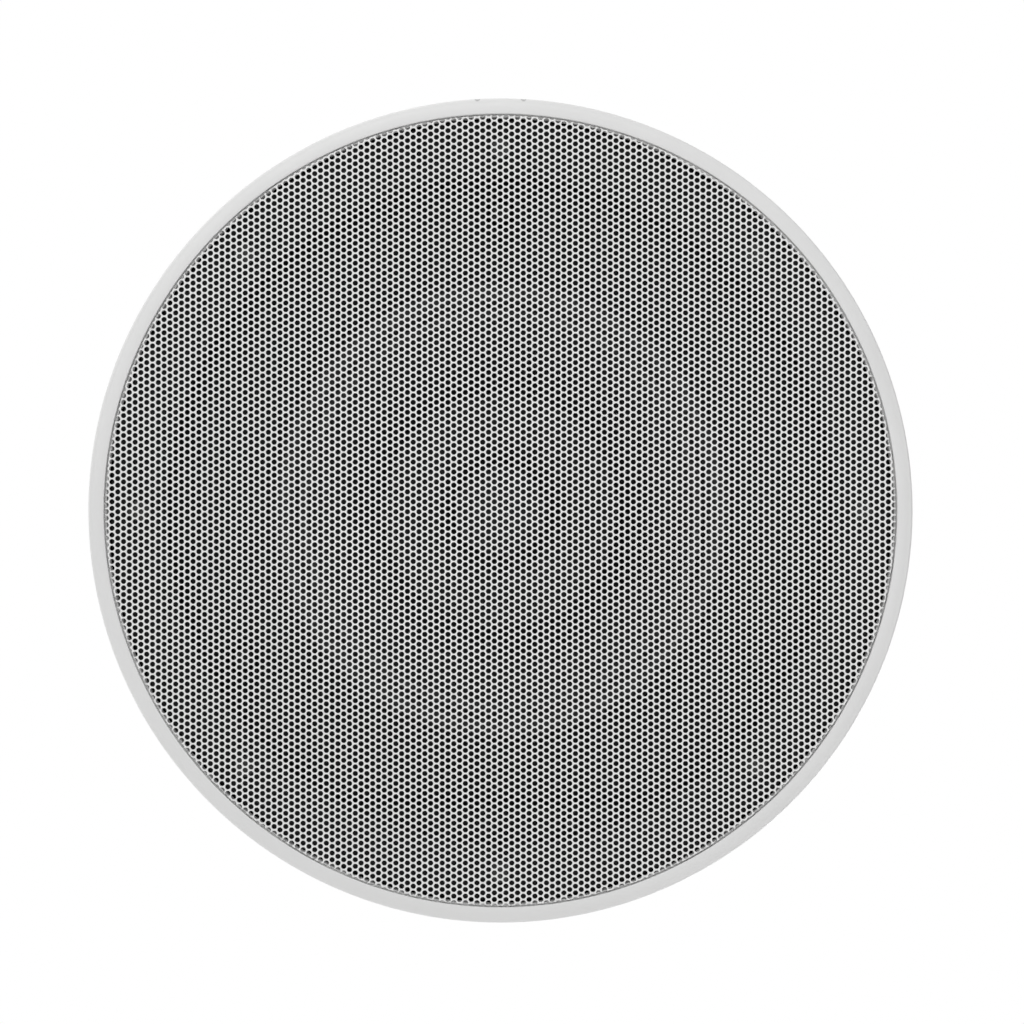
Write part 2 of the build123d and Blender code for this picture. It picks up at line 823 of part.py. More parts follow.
def woofer_lead(side):
    """From a tag over the basket to the board's -X end."""
    y, foot = strip_place()
    tag = Vector(side * STRIP_W / 4, y + TAG_T / 2, foot + STRIP_T + TAG_H / 2)
    return lead(tag, tag + Vector(0, LEAD_SLACK, 0), *lead_pad(-1, side))


def tweeter_lead(side):
    """From the tweeter up the post's bore, over the yoke and down to the board's +X end."""
    motor = Vector(side * LEAD_SPREAD / 2, 0, POST_Z)
    out = Vector(motor.X, 0, BACK_Z + NUT_H + POST_TAIL + LEAD_BEND)
    above, pad = lead_pad(1, side)
    edge = Vector(above.X, FERRITE_R, BACK_Z + LEAD_SLACK)
    return lead(motor, out, edge, above, pad)


# Clamps, drawn on +X and turned into place


def clamp_screw():
    head_z = FLOOR_Z - CLAMP_HEAD_H
    screw = merge(
        rod(CLAMP_HEAD_R, head_z, FLOOR_Z, CLAMP_R),
        rod(CLAMP_SCREW_R, FLOOR_Z, SCREW_END_Z, CLAMP_R),
    )
    slots = [
        block(width, length, head_z, head_z + DRIVE_SLOT_D, CLAMP_R)
        for width, length in ((DRIVE_SLOT_W, DRIVE_SLOT_L), (DRIVE_SLOT_L, DRIVE_SLOT_W))
    ]
    return screw.cut(*slots)


def clamp_retainer():
    foot = FLOOR_BACK_Z + RETAINER_LIFT
    return rod(RETAINER_R, foot, foot + RETAINER_T, CLAMP_R) - rod(
        CLAMP_SCREW_R + GLUE_GAP, foot, foot + RETAINER_T, CLAMP_R
    )


def clamp_leg():
    """A dog-leg: a tall hub on the screw and an arm that steps down to its tip."""
    bend = ARM_ROOT + ARM_BEND
    tip_z = HUB_Z - ARM_DROP
    side_view = Polyline(
        (0, HUB_Z),
        (-ARM_ROOT, HUB_Z),
        (-bend, tip_z),
        (-ARM_REACH, tip_z),
        (-ARM_REACH, tip_z + ARM_TIP_T),
        (-bend - ARM_BEND, HUB_Z + ARM_TIP_T / 2),
        (-HUB_R, HUB_TOP_Z - ARM_TIP_T / 2),
        (0, HUB_TOP_Z - ARM_TIP_T / 2),
        close=True,
    )
    arm = Pos(CLAMP_R, 0, 0) * extrude(Plane.YZ * make_face(side_view), ARM_W / 2, both=True)
    leg = merge(rod(HUB_R, HUB_Z, HUB_TOP_Z, CLAMP_R), arm)
    nut_room = CLAMP_NUT_W + 2 * CLAMP_NUT_GAP
    return leg.cut(
        rod(CLAMP_SCREW_R + SCREW_GAP, HUB_Z, HUB_TOP_Z, CLAMP_R),
        block(nut_room, nut_room, HUB_TOP_Z - CLAMP_NUT_T, HUB_TOP_Z, CLAMP_R),
    )


def clamp_nut():
    foot = HUB_TOP_Z - CLAMP_NUT_T
    return block(CLAMP_NUT_W, CLAMP_NUT_W, foot, HUB_TOP_Z, CLAMP_R) - rod(
        CLAMP_SCREW_R + SCREW_GAP, foot, HUB_TOP_Z, CLAMP_R
    )


# Crossover and switch


def crossover_board():
    outline = Rectangle(2 * BOARD_HALF_W, BOARD_OUT_Y - BOARD_IN_Y)
    outline = chamfer(outline.vertices(), BOARD_CORNER)
    board = Pos(0, BOARD_Y, BOARD_Z) * extrude(outline, BOARD_T)
    holes = [
        rod(BOARD_SCREW_R + SCREW_GAP, BOARD_Z, BOARD_TOP_Z, x, y) for x, y in BOARD_POSTS
    ]
    return board.cut(*holes)


def board_screws():
    return [
        merge(
            rod(BOARD_SCREW_R, BOARD_Z - BOARD_SCREW_BITE, BOARD_TOP_Z, x, y),
            rod(BOARD_HEAD_R, BOARD_TOP_Z, BOARD_TOP_Z + BOARD_HEAD_H, x, y),
        )
        for x, y in BOARD_POSTS
    ]


def inductor_bobbin():
    top = BOARD_TOP_Z + INDUCTOR_H
    spool = lathe(
        (0, BOARD_TOP_Z),
        (INDUCTOR_R, BOARD_TOP_Z),
        (INDUCTOR_R, BOARD_TOP_Z + INDUCTOR_CHEEK),
        (INDUCTOR_CORE_R, BOARD_TOP_Z + INDUCTOR_CHEEK),
        (INDUCTOR_CORE_R, top - INDUCTOR_CHEEK),
        (INDUCTOR_R, top - INDUCTOR_CHEEK),
        (INDUCTOR_R, top),
        (0, top),
    )
    return Pos(INDUCTOR_X, BOARD_Y, 0) * spool


def inductor_winding():
    coil = ring(
        INDUCTOR_CORE_R + WINDING_GAP,
        INDUCTOR_R - INDUCTOR_CHEEK / 2,
        BOARD_TOP_Z + INDUCTOR_CHEEK,
        BOARD_TOP_Z + INDUCTOR_H - INDUCTOR_CHEEK,
    )
    return Pos(INDUCTOR_X, BOARD_Y, 0) * coil


def electrolytic_capacitor():
    can = Rot(90, 0, 0) * Cylinder(ELECTROLYTIC_R, ELECTROLYTIC_L)
    return Pos(ELECTROLYTIC_X, BOARD_Y, BOARD_TOP_Z + ELECTROLYTIC_R) * can


def film_capacitor():
    return block(FILM_W, FILM_L, BOARD_TOP_Z, BOARD_TOP_Z + FILM_H, FILM_X, BOARD_Y)


def power_resistor():
    return block(
        RESISTOR_W, RESISTOR_L, BOARD_TOP_Z, BOARD_TOP_Z + RESISTOR_H, RESISTOR_X, BOARD_Y
    )


def button_place(side):
    return TERMINAL_X + BUTTON_OFFSET, BOARD_Y + side * TERMINAL_PITCH / 2


def terminal_block():
    top = BOARD_TOP_Z + TERMINAL_H
    body = block(TERMINAL_W, TERMINAL_L, BOARD_TOP_Z, top, TERMINAL_X, BOARD_Y)
    well = BUTTON_W + 2 * BUTTON_GAP
    well_z = top - BUTTON_STEM - BUTTON_TRAVEL - BUTTON_GAP
    wells = [block(well, well, well_z, top, *button_place(side)) for side in (-1, 1)]
    wire_holes = [
        rod(
            WIRE_HOLE_R,
            top - WIRE_HOLE_D,
            top,
            TERMINAL_X - WIRE_HOLE_OFFSET,
            BOARD_Y + side * TERMINAL_PITCH / 2,
        )
        for side in (-1, 1)
    ]
    return body.cut(*wells, *wire_holes)


def terminal_button(side):
    top = BOARD_TOP_Z + TERMINAL_H
    button = block(BUTTON_W, BUTTON_W, top - BUTTON_STEM, top + BUTTON_H, *button_place(side))
    crown = button.edges().group_by(Axis.Z)[-1]
    return chamfer(crown, BUTTON_GAP)


def switch_body():
    body = block(SWITCH_W, SWITCH_L, LAND_BACK_Z, LAND_BACK_Z + SWITCH_H, SWITCH_X, SWITCH_Y)
    track = block(
        LEVER_FOOT_W + 2 * (SWITCH_TRAVEL + SWITCH_GAP),
        LEVER_L + 2 * SWITCH_GAP,
        LAND_BACK_Z,
        LAND_BACK_Z + LEVER_FOOT_T + 2 * SWITCH_GAP,
        SWITCH_X,
        SWITCH_Y,
    )
    return body - track


def switch_slider():
    foot_z = LAND_BACK_Z + SWITCH_GAP
    return merge(
        block(LEVER_W, LEVER_L, LAND_Z - LEVER_PROUD, foot_z, SWITCH_X, SWITCH_Y),
        block(LEVER_FOOT_W, LEVER_L, foot_z, foot_z + LEVER_FOOT_T, SWITCH_X, SWITCH_Y),
    )


def nodes():
    """Every piece by its node's name: one solid, or a list of like ones."""
    made = {
        "grille_sheet": grille_sheet(),
        "grille_rim": grille_rim(),
        "grille_magnets": grille_magnets(),
        "main_frame": main_frame(),
        "driver_gasket": driver_gasket(),
        "driver_basket": driver_basket(),
        "driver_screws": driver_screws(),
        "surround": surround(),
        "cone": cone(),
        "coil_former": coil_former(),
        "voice_coil": voice_coil(),
        "spider": spider(),
        "top_plate": top_plate(),
        "ferrite_magnet": ferrite_magnet(),
        "pole_yoke": pole_yoke(),
        "terminal_strip": terminal_strip(),
        "terminal_tags": terminal_tags(),
        "tweeter_waveguide": tweeter_waveguide(),
        "tweeter_dome": tweeter_dome(),
        "tweeter_motor": tweeter_motor(),
        "tweeter_post": tweeter_post(),
        "post_nut": post_nut(),
        "leads_red": [woofer_lead(-1), tweeter_lead(-1)],
        "leads_black": [woofer_lead(1), tweeter_lead(1)],
        "crossover_board": crossover_board(),
        "board_screws": board_screws(),
        "inductor_bobbin": inductor_bobbin(),
        "inductor_winding": inductor_winding(),
        "electrolytic_capacitor": electrolytic_capacitor(),
        "film_capacitor": film_capacitor(),
        "power_resistor": power_resistor(),
        "terminal_block": terminal_block(),
        "terminal_button_red": terminal_button(-1),
        "terminal_button_black": terminal_button(1),
        "switch_body": switch_body(),
        "switch_slider": switch_slider(),
    }
    for number, angle in enumerate(CLAMP_ANGLES, 1):
        made[f"clamp_screw_{number}"] = around(clamp_screw(), angle)
        made[f"clamp_retainer_{number}"] = around(clamp_retainer(), angle)
        made[f"clamp_leg_{number}"] = around(clamp_leg(), angle)
        made[f"clamp_nut_{number}"] = around(clamp_nut(), angle)
    return made


os.makedirs("parts", exist_ok=True)
for name, piece in nodes().items():
    solids = piece if isinstance(piece, list) else [piece]
    export_step(Compound(children=[s for part in solids for s in part.solids()]), f"parts/{name}.step")
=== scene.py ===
import math

import bmesh
import bpy
import numpy as np
from mathutils import Matrix, Vector
from mathutils.geometry import delaunay_2d_cdt


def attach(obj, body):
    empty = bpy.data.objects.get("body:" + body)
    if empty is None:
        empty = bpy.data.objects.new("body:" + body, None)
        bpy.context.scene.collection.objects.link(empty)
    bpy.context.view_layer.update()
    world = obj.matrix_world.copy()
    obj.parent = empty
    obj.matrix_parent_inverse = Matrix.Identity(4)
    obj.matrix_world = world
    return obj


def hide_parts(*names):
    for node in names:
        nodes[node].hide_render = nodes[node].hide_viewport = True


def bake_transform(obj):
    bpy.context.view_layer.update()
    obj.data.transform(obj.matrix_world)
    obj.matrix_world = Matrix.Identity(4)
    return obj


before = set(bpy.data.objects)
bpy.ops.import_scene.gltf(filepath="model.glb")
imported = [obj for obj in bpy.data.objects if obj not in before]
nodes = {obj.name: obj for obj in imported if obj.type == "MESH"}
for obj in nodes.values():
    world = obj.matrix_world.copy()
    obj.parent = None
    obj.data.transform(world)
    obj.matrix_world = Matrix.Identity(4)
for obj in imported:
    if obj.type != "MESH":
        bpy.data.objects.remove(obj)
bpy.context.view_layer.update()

MM = 0.001

# Sizes shared with the part's source, in millimetres
SHEET_R = 118.75
SHEET_FRONT_Z = -6.6
SHEET_BACK_Z = -5.8
CREST_Z = -7.0
RIM_R = 124.0
RIM_INNER_R = 119.2
LEDGE_BACK_Z = -4.6
SKIRT_R = 121.8
SKIRT_Z = -0.4
ROLL_R = 66.0
ROLL_H = 4.5
ROLL_T = 0.8
DRIVER_Z = 8.5
SHELF_Z = 34.0

# Step that holds the sheet's edge, as the photograph shows it through the outer holes
SHOULDER_R = 118.45
LEDGE_R = 117.95

# Grille perforation, read from the photograph
HOLE_PITCH = 1.9919
COLUMN_PITCH = 1.7412
HOLE_R = 0.785
HOLE_SIDES = 8
HOLE_X = -0.076
HOLE_Y = 0.361
SHEET_BANDS = 3
EDGE_SEGMENTS = 720

# Middle of the right-hand notch at the head of the rim, where painted shade makes the plastic grey
NOTCH_SHADE_SPOT = (6.95, -123.6, -5.6)
# Painted shade in the notch: colour factor at its middle, then the radii where it is full and where it
# has faded out
NOTCH_SHADE = 0.6
NOTCH_FULL_SHADE_R = 0.45
NOTCH_SHADE_END_R = 1.0

# Points of a turned mesh that are nearer than this, in metres, become one
SAME_POINT = 1e-7

# Angles between faces, in degrees, above which an edge stays sharp
TURNED_SHARP = 32.0
BOX_SHARP = 40.0
WIRE_SHARP = 50.0
SOLID_SHARP = 24.0


# Materials


class Shader:
    """A material with a few shorthands for its nodes."""

    def __init__(self, name, edge=0.35):
        self.material = bpy.data.materials.new(name)
        self.material.use_nodes = True
        self.tree = self.material.node_tree
        self.tree.nodes.clear()
        self.out = self.node("ShaderNodeOutputMaterial")
        self.bsdf = self.node("ShaderNodeBsdfPrincipled")
        self.link(self.bsdf.outputs[0], self.out.inputs[0])
        self.where = self.node("ShaderNodeTexCoord").outputs["Object"]
        self.normal = None
        if edge:
            worn = self.node("ShaderNodeBevel", samples=4)
            worn.inputs["Radius"].default_value = edge * MM
            self.normal = worn.outputs["Normal"]
            self.link(self.normal, self.bsdf.inputs["Normal"])

    def node(self, kind, **settings):
        made = self.tree.nodes.new(kind)
        for key, value in settings.items():
            setattr(made, key, value)
        return made

    def link(self, source, target):
        self.tree.links.new(source, target)

    def set(self, **values):
        for key, value in values.items():
            self.bsdf.inputs[key.replace("_", " ")].default_value = value
        return self

    def noise(self, scale, detail=3.0, rough=0.55):
        texture = self.node("ShaderNodeTexNoise")
        texture.inputs["Scale"].default_value = scale
        texture.inputs["Detail"].default_value = detail
        texture.inputs["Roughness"].default_value = rough
        self.link(self.where, texture.inputs["Vector"])
        return texture.outputs["Fac"]

    def cells(self, scale, feature="F1"):
        texture = self.node("ShaderNodeTexVoronoi", feature=feature)
        texture.inputs["Scale"].default_value = scale
        self.link(self.where, texture.inputs["Vector"])
        return texture.outputs["Distance"]

    def wave(self, scale, direction="Z", kind="BANDS", distortion=0.0):
        texture = self.node("ShaderNodeTexWave", wave_type=kind)
        if kind == "BANDS":
            texture.bands_direction = direction
        else:
            texture.rings_direction = direction
        texture.inputs["Scale"].default_value = scale
        texture.inputs["Distortion"].default_value = distortion
        texture.inputs["Detail"].default_value = 1.0
        self.link(self.where, texture.inputs["Vector"])
        return texture.outputs["Fac"]

    def math(self, operation, a, b):
        made = self.node("ShaderNodeMath", operation=operation)
        for socket, value in zip(made.inputs, (a, b)):
            if isinstance(value, (int, float)):
                socket.default_value = value
            else:
                self.link(value, socket)
        return made.outputs[0]

    def span(self, factor, low, high, to_low, to_high):
        made = self.node("ShaderNodeMapRange")
        self.link(factor, made.inputs["Value"])
        for key, value in (
            ("From Min", low),
            ("From Max", high),
            ("To Min", to_low),
            ("To Max", to_high),
        ):
            made.inputs[key].default_value = value
        return made.outputs["Result"]

    def ramp(self, factor, *stops):
        made = self.node("ShaderNodeValToRGB")
        while len(made.color_ramp.elements) < len(stops):
            made.color_ramp.elements.new(0.5)
        for element, (place, colour) in zip(made.color_ramp.elements, stops):
            element.position = place
            element.color = (*colour, 1.0)
        self.link(factor, made.inputs["Fac"])
        return made.outputs["Color"]

    def colour(self, socket):
        self.link(socket, self.bsdf.inputs["Base Color"])
        return self

    def rough(self, factor, low, high):
        self.link(self.span(factor, 0.3, 0.7, low, high), self.bsdf.inputs["Roughness"])
        return self

    def bump(self, height, distance, strength=1.0):
        made = self.node("ShaderNodeBump")
        made.inputs["Distance"].default_value = distance
        made.inputs["Strength"].default_value = strength
        self.link(height, made.inputs["Height"])
        if self.normal is not None:
            self.link(self.normal, made.inputs["Normal"])
        self.normal = made.outputs["Normal"]
        self.link(self.normal, self.bsdf.inputs["Normal"])
        return self


def shade(colour, factor):
    return tuple(min(1.0, c * factor) for c in colour)


def moulded(name, colour, rough, grain, depth, vary, specular=0.45):
    """Injection-moulded plastic: a fine spark-eroded grain and faint flow in its tone."""
    made = Shader(name)
    flow = made.noise(28.0, 2.0)
    made.colour(made.ramp(flow, (0.3, shade(colour, 1 - vary)), (0.7, shade(colour, 1 + vary))))
    grain_map = made.noise(grain, 2.0)
    made.rough(made.noise(320.0, 4.0), *rough)
    made.bump(grain_map, depth, 0.6)
    made.set(Specular_IOR_Level=specular)
    return made.material


def metal(name, colour, rough, rings, vary, metallic=1.0):
    """Plated or turned metal, with lathe rings at the given scale, or none at zero."""
    made = Shader(name)
    cloud = made.noise(85.0, 4.0)
    made.colour(made.ramp(cloud, (0.28, shade(colour, 1 - vary)), (0.72, shade(colour, 1 + vary))))
    made.rough(made.noise(420.0, 5.0), *rough)
    if rings:
        made.bump(made.wave(rings, "Z", "RINGS", 0.6), 0.00004, 0.35)
    made.bump(made.noise(1800.0, 3.0), 0.00002, 0.4)
    made.set(Metallic=metallic)
    return made.material


def white_paint(name, colour, rough, peel, depth):
    """Powder coat: a soft orange peel and a very slight change of tone."""
    made = Shader(name, 0.0)
    tone = made.noise(16.0, 2.0)
    made.colour(made.ramp(tone, (0.3, shade(colour, 0.985)), (0.7, shade(colour, 1.012))))
    made.rough(made.noise(240.0, 3.0), *rough)
    made.bump(made.noise(peel, 2.0), depth, 0.5)
    made.set(Specular_IOR_Level=0.4)
    return made.material


def cloth(name, colour, threads, depth, sheen=0.2):
    """A plain weave from two sets of threads."""
    made = Shader(name)
    across = made.wave(threads, "X")
    along = made.wave(threads, "Y")
    weave = made.math("MAXIMUM", across, along)
    blotch = made.noise(70.0, 3.0)
    tone = made.math("MULTIPLY", weave, made.span(blotch, 0.2, 0.8, 0.75, 1.0))
    made.colour(made.ramp(tone, (0.2, shade(colour, 0.55)), (0.85, shade(colour, 1.12))))
    made.rough(blotch, 0.75, 0.92)
    made.bump(weave, depth, 0.8)
    made.set(Sheen_Weight=sheen)
    return made.material


def rubber(name, colour):
    """Soft rubber with a dull bloom in patches."""
    made = Shader(name)
    bloom = made.noise(45.0, 5.0, 0.65)
    made.colour(made.ramp(bloom, (0.35, shade(colour, 0.8)), (0.75, shade(colour, 1.35))))
    made.rough(bloom, 0.42, 0.6)
    made.bump(made.noise(3200.0, 2.0), 0.00002, 0.5)
    made.set(Specular_IOR_Level=0.5)
    return made.material


def speckled(name, colour, fleck, scale, rough):
    """Fired or cast mineral: fine flecks over a cloudy ground."""
    made = Shader(name)
    flecks = made.cells(scale)
    cloud = made.noise(60.0, 4.0)
    mixed = made.math("MULTIPLY", flecks, made.span(cloud, 0.2, 0.8, 0.8, 1.2))
    ground = ((0.4, shade(colour, 0.92)), (0.8, shade(colour, 1.08)))
    made.colour(made.ramp(mixed, (0.08, fleck), *ground))
    made.rough(cloud, *rough)
    made.bump(flecks, 0.00003, 0.5)
    return made.material


def wound(name, colour, pitch):
    """Fine enamelled wire laid in turns."""
    made = Shader(name)
    turns = made.wave(0.314 / pitch, "Z", "BANDS", 0.3)
    cloud = made.noise(160.0, 4.0)
    tone = made.math("MULTIPLY", turns, made.span(cloud, 0.2, 0.8, 0.8, 1.05))
    made.colour(made.ramp(tone, (0.1, shade(colour, 0.35)), (0.9, shade(colour, 1.1))))
    made.rough(cloud, 0.22, 0.38)
    made.bump(turns, 0.00012, 0.9)
    made.set(Metallic=1.0, Coat_Weight=0.3)
    return made.material


def circuit_board(name, mask, copper):
    """Solder mask over copper pours, which show as a paler green."""
    made = Shader(name)
    pours = made.cells(150.0, "DISTANCE_TO_EDGE")
    traces = made.span(pours, 0.10, 0.14, 0.0, 1.0)
    cloud = made.noise(500.0, 3.0)
    tone = made.math("ADD", made.math("MULTIPLY", traces, 0.7), made.math("MULTIPLY", cloud, 0.25))
    made.colour(made.ramp(tone, (0.1, mask), (0.85, copper)))
    made.rough(cloud, 0.28, 0.4)
    made.bump(traces, 0.00004, 0.6)
    made.set(Coat_Weight=0.3)
    return made.material


def rim_plastic(name, colour):
    """White moulded plastic, with painted shade darkening it in the two notches at the head of the rim.
    """
    made = Shader(name)
    flow = made.noise(28.0, 2.0)
    tone = made.span(flow, 0.3, 0.7, 0.988, 1.012)
    # Painted shade: the colour darkens round each notch, on top of the random tone
    for side in (-1, 1):
        spot = made.node("ShaderNodeVectorMath", operation="DISTANCE")
        made.link(made.where, spot.inputs[0])
        x, y, z = NOTCH_SHADE_SPOT
        spot.inputs[1].default_value = (side * x * MM, y * MM, z * MM)
        notch_shade = made.span(
            spot.outputs["Value"], NOTCH_FULL_SHADE_R * MM, NOTCH_SHADE_END_R * MM, NOTCH_SHADE, 1.0
        )
        tone = made.math("MULTIPLY", tone, notch_shade)
    mixed = made.node("ShaderNodeVectorMath", operation="SCALE")
    mixed.inputs[0].default_value = colour
    made.link(tone, mixed.inputs["Scale"])
    made.colour(mixed.outputs["Vector"])
    made.rough(made.noise(320.0, 4.0), 0.42, 0.54)
    made.bump(made.noise(2200.0, 2.0), 0.00002, 0.6)
    made.set(Specular_IOR_Level=0.06)
    return made.material


looks = {
    "sheet": white_paint("sheet_powder_coat", (0.84, 0.84, 0.835), (0.42, 0.52), 1500.0, 0.00002),
    "rim": rim_plastic("rim_white_abs", (0.765, 0.765, 0.762)),
    "frame": moulded(
        "frame_black_abs", (0.009, 0.009, 0.0095), (0.5, 0.66), 2400.0, 0.00004, 0.18, 0.22
    ),
    "guide": moulded(
        "waveguide_black_abs", (0.011, 0.011, 0.0115), (0.36, 0.48), 3200.0, 0.00002, 0.15, 0.28
    ),
    "nylon": moulded("leg_nylon", (0.05, 0.05, 0.053), (0.4, 0.58), 1700.0, 0.00004, 0.2),
    "part_black": moulded("small_black_abs", (0.02, 0.02, 0.021), (0.38, 0.5), 3000.0, 0.00002, 0.15),
    "cone": moulded("cone_filled_pp", (0.022, 0.022, 0.024), (0.45, 0.6), 900.0, 0.00005, 0.25, 0.3),
    "magnet": metal("magnet_black_coat", (0.03, 0.03, 0.03), (0.35, 0.5), 0.0, 0.2, 0.4),
    "basket": moulded("basket_black_coat", (0.022, 0.022, 0.023), (0.36, 0.5), 1300.0, 0.00005, 0.2),
    "zinc": metal("zinc_plate", (0.56, 0.55, 0.51), (0.26, 0.42), 0.0, 0.06),
    "black_zinc": metal("black_zinc_plate", (0.035, 0.034, 0.033), (0.3, 0.45), 0.0, 0.2, 0.7),
    "plate": metal("motor_plate_zinc", (0.46, 0.46, 0.45), (0.30, 0.44), 260.0, 0.04),
    "foam": speckled("gasket_foam", (0.04, 0.04, 0.042), (0.015, 0.015, 0.016), 1400.0, (0.85, 0.95)),
    "rubber": rubber("surround_rubber", (0.03, 0.03, 0.031)),
    "film": moulded("former_film", (0.42, 0.19, 0.04), (0.2, 0.32), 2000.0, 0.00001, 0.1),
    "copper": wound("copper_turns", (0.72, 0.33, 0.16), 0.0006),
    "spider": cloth("spider_weave", (0.50, 0.36, 0.17), 330.0, 0.0002),
    "ferrite": speckled("ferrite_ground", (0.075, 0.075, 0.08), (0.12, 0.12, 0.125), 900.0, (0.5, 0.68)),
    "strip": moulded("strip_board", (0.26, 0.14, 0.06), (0.45, 0.6), 900.0, 0.00003, 0.2),
    "tin": metal("tag_tin", (0.62, 0.62, 0.60), (0.2, 0.34), 0.0, 0.06),
    "dome": cloth("dome_weave", (0.03, 0.03, 0.033), 900.0, 0.00004, 0.1),
    "can": metal("tweeter_can_black", (0.03, 0.03, 0.032), (0.35, 0.5), 0.0, 0.2, 0.3),
    "alloy": metal("post_alloy", (0.60, 0.60, 0.61), (0.24, 0.38), 900.0, 0.05),
    "board": circuit_board("board_mask", (0.012, 0.085, 0.03), (0.03, 0.17, 0.06)),
    "cream": moulded("bobbin_nylon", (0.70, 0.66, 0.55), (0.4, 0.55), 1500.0, 0.00003, 0.06),
    "sleeve": moulded("capacitor_sleeve", (0.012, 0.014, 0.04), (0.18, 0.28), 900.0, 0.00001, 0.15),
    "amber": moulded("film_capacitor_resin", (0.48, 0.20, 0.02), (0.16, 0.28), 700.0, 0.00002, 0.12),
    "cement": speckled("resistor_cement", (0.72, 0.70, 0.65), (0.5, 0.48, 0.44), 1100.0, (0.8, 0.92)),
    "red": moulded("button_red_abs", (0.50, 0.016, 0.014), (0.28, 0.4), 2200.0, 0.00002, 0.08),
    "lead_red": moulded("lead_red_pvc", (0.45, 0.012, 0.012), (0.3, 0.42), 900.0, 0.00002, 0.08),
    "lead_black": moulded("lead_black_pvc", (0.012, 0.012, 0.013), (0.3, 0.42), 900.0, 0.00002, 0.1),
    "aluminium": metal("can_aluminium", (0.62, 0.62, 0.62), (0.22, 0.34), 1400.0, 0.05),
    "stripe": moulded("capacitor_stripe", (0.42, 0.44, 0.46), (0.2, 0.3), 900.0, 0.00001, 0.05),
    "solder": metal("solder_tin_lead", (0.5, 0.5, 0.49), (0.18, 0.32), 0.0, 0.08),
    "black": moulded("button_black_abs", (0.018, 0.018, 0.019), (0.28, 0.4), 2200.0, 0.00002, 0.1),
}

node_looks = {
    "grille_magnets": "magnet",
    "main_frame": "frame",
    "driver_gasket": "foam",
    "driver_basket": "basket",
    "driver_screws": "zinc",
    "cone": "cone",
    "coil_former": "film",
    "voice_coil": "copper",
    "top_plate": "plate",
    "ferrite_magnet": "ferrite",
    "pole_yoke": "plate",
    "terminal_strip": "strip",
    "terminal_tags": "tin",
    "tweeter_waveguide": "guide",
    "tweeter_dome": "dome",
    "tweeter_motor": "can",
    "tweeter_post": "alloy",
    "post_nut": "zinc",
    "leads_red": "lead_red",
    "leads_black": "lead_black",
    "crossover_board": "board",
    "board_screws": "zinc",
    "inductor_bobbin": "cream",
    "inductor_winding": "copper",
    "electrolytic_capacitor": "sleeve",
    "film_capacitor": "amber",
    "power_resistor": "cement",
    "terminal_block": "part_black",
    "terminal_button_red": "red",
    "terminal_button_black": "black",
    "switch_body": "part_black",
    "switch_slider": "part_black",
    "grille_sheet": "sheet",
    "grille_rim": "rim",
    "surround": "rubber",
    "spider": "spider",
}
for number in (1, 2, 3):
    node_looks[f"clamp_screw_{number}"] = "black_zinc"
    node_looks[f"clamp_retainer_{number}"] = "zinc"
    node_looks[f"clamp_leg_{number}"] = "nylon"
    node_looks[f"clamp_nut_{number}"] = "zinc"

for node_name, look in node_looks.items():
    node = nodes[node_name]
    node.data.materials.clear()
    node.data.materials.append(looks[look])


# Meshes


def mesh_object(name, points, triangles, look):
    """An object from arrays of points, in millimetres, and triangles."""
    mesh = bpy.data.meshes.new(name)
    mesh.vertices.add(len(points))
    mesh.vertices.foreach_set("co", (points * MM).astype(np.float32).ravel())
    mesh.loops.add(3 * len(triangles))
    mesh.loops.foreach_set("vertex_index", triangles.astype(np.int32).ravel())
    mesh.polygons.add(len(triangles))
    mesh.polygons.foreach_set("loop_start", np.arange(0, 3 * len(triangles), 3, dtype=np.int32))
    mesh.update(calc_edges=True)
    mesh.materials.append(looks[look])
    made = bpy.data.objects.new(name, mesh)
    bpy.context.scene.collection.objects.link(made)
    return made


def placed(name, mesh, look, sharp):
    """Puts a mesh in the scene, smooth but for edges sharper than the given angle."""
    mesh.polygons.foreach_set("use_smooth", [True] * len(mesh.polygons))
    mesh.set_sharp_from_angle(angle=math.radians(sharp))
    mesh.materials.append(looks[look])
    made = bpy.data.objects.new(name, mesh)
    bpy.context.scene.collection.objects.link(made)
    return made


def ring_faces(rows, around):
    """Faces between rows of points that each go round a loop, with both ends closed."""
    faces = []
    for row in range(rows - 1):
        low, high = row * around, (row + 1) * around
        for column in range(around):
            beside = (column + 1) % around
            faces.append((low + column, low + beside, high + beside, high + column))
    faces.append(tuple(range(around))[::-1])
    faces.append(tuple((rows - 1) * around + column for column in range(around)))
    return faces


def turned(name, profile, look, segments, start=0.0, sweep=360.0):
    """Turns a closed (radius, z) outline round Z, by sweep degrees from start."""
    whole = sweep >= 360.0
    count = segments if whole else segments + 1
    angles = np.radians(start + sweep * np.arange(count) / segments)
    outline = np.array(profile, float)
    size = len(outline)
    points = np.empty((count, size, 3))
    points[:, :, 0] = np.cos(angles)[:, None] * outline[None, :, 0]
    points[:, :, 1] = np.sin(angles)[:, None] * outline[None, :, 0]
    points[:, :, 2] = outline[None, :, 1]
    faces = []
    for i in range(segments):
        a = i * size
        b = (i + 1) % count * size
        for j in range(size):
            k = (j + 1) % size
            faces.append((a + j, b + j, b + k, a + k))
    if not whole:
        faces.append(tuple(range(size))[::-1])
        faces.append(tuple(segments * size + j for j in range(size)))
    mesh = bpy.data.meshes.new(name)
    mesh.from_pydata((points.reshape(-1, 3) * MM).tolist(), [], faces)
    work = bmesh.new()
    work.from_mesh(mesh)
    bmesh.ops.remove_doubles(work, verts=work.verts, dist=SAME_POINT)
    bmesh.ops.recalc_face_normals(work, faces=work.faces)
    work.to_mesh(mesh)
    work.free()
    return placed(name, mesh, look, TURNED_SHARP)


def arc(centre, across, height, start, end, steps):
    """Points on an ellipse from one angle to another, in degrees."""
    angles = np.radians(np.linspace(start, end, steps + 1))
    return [(centre[0] + across * math.cos(a), centre[1] + height * math.sin(a)) for a in angles]


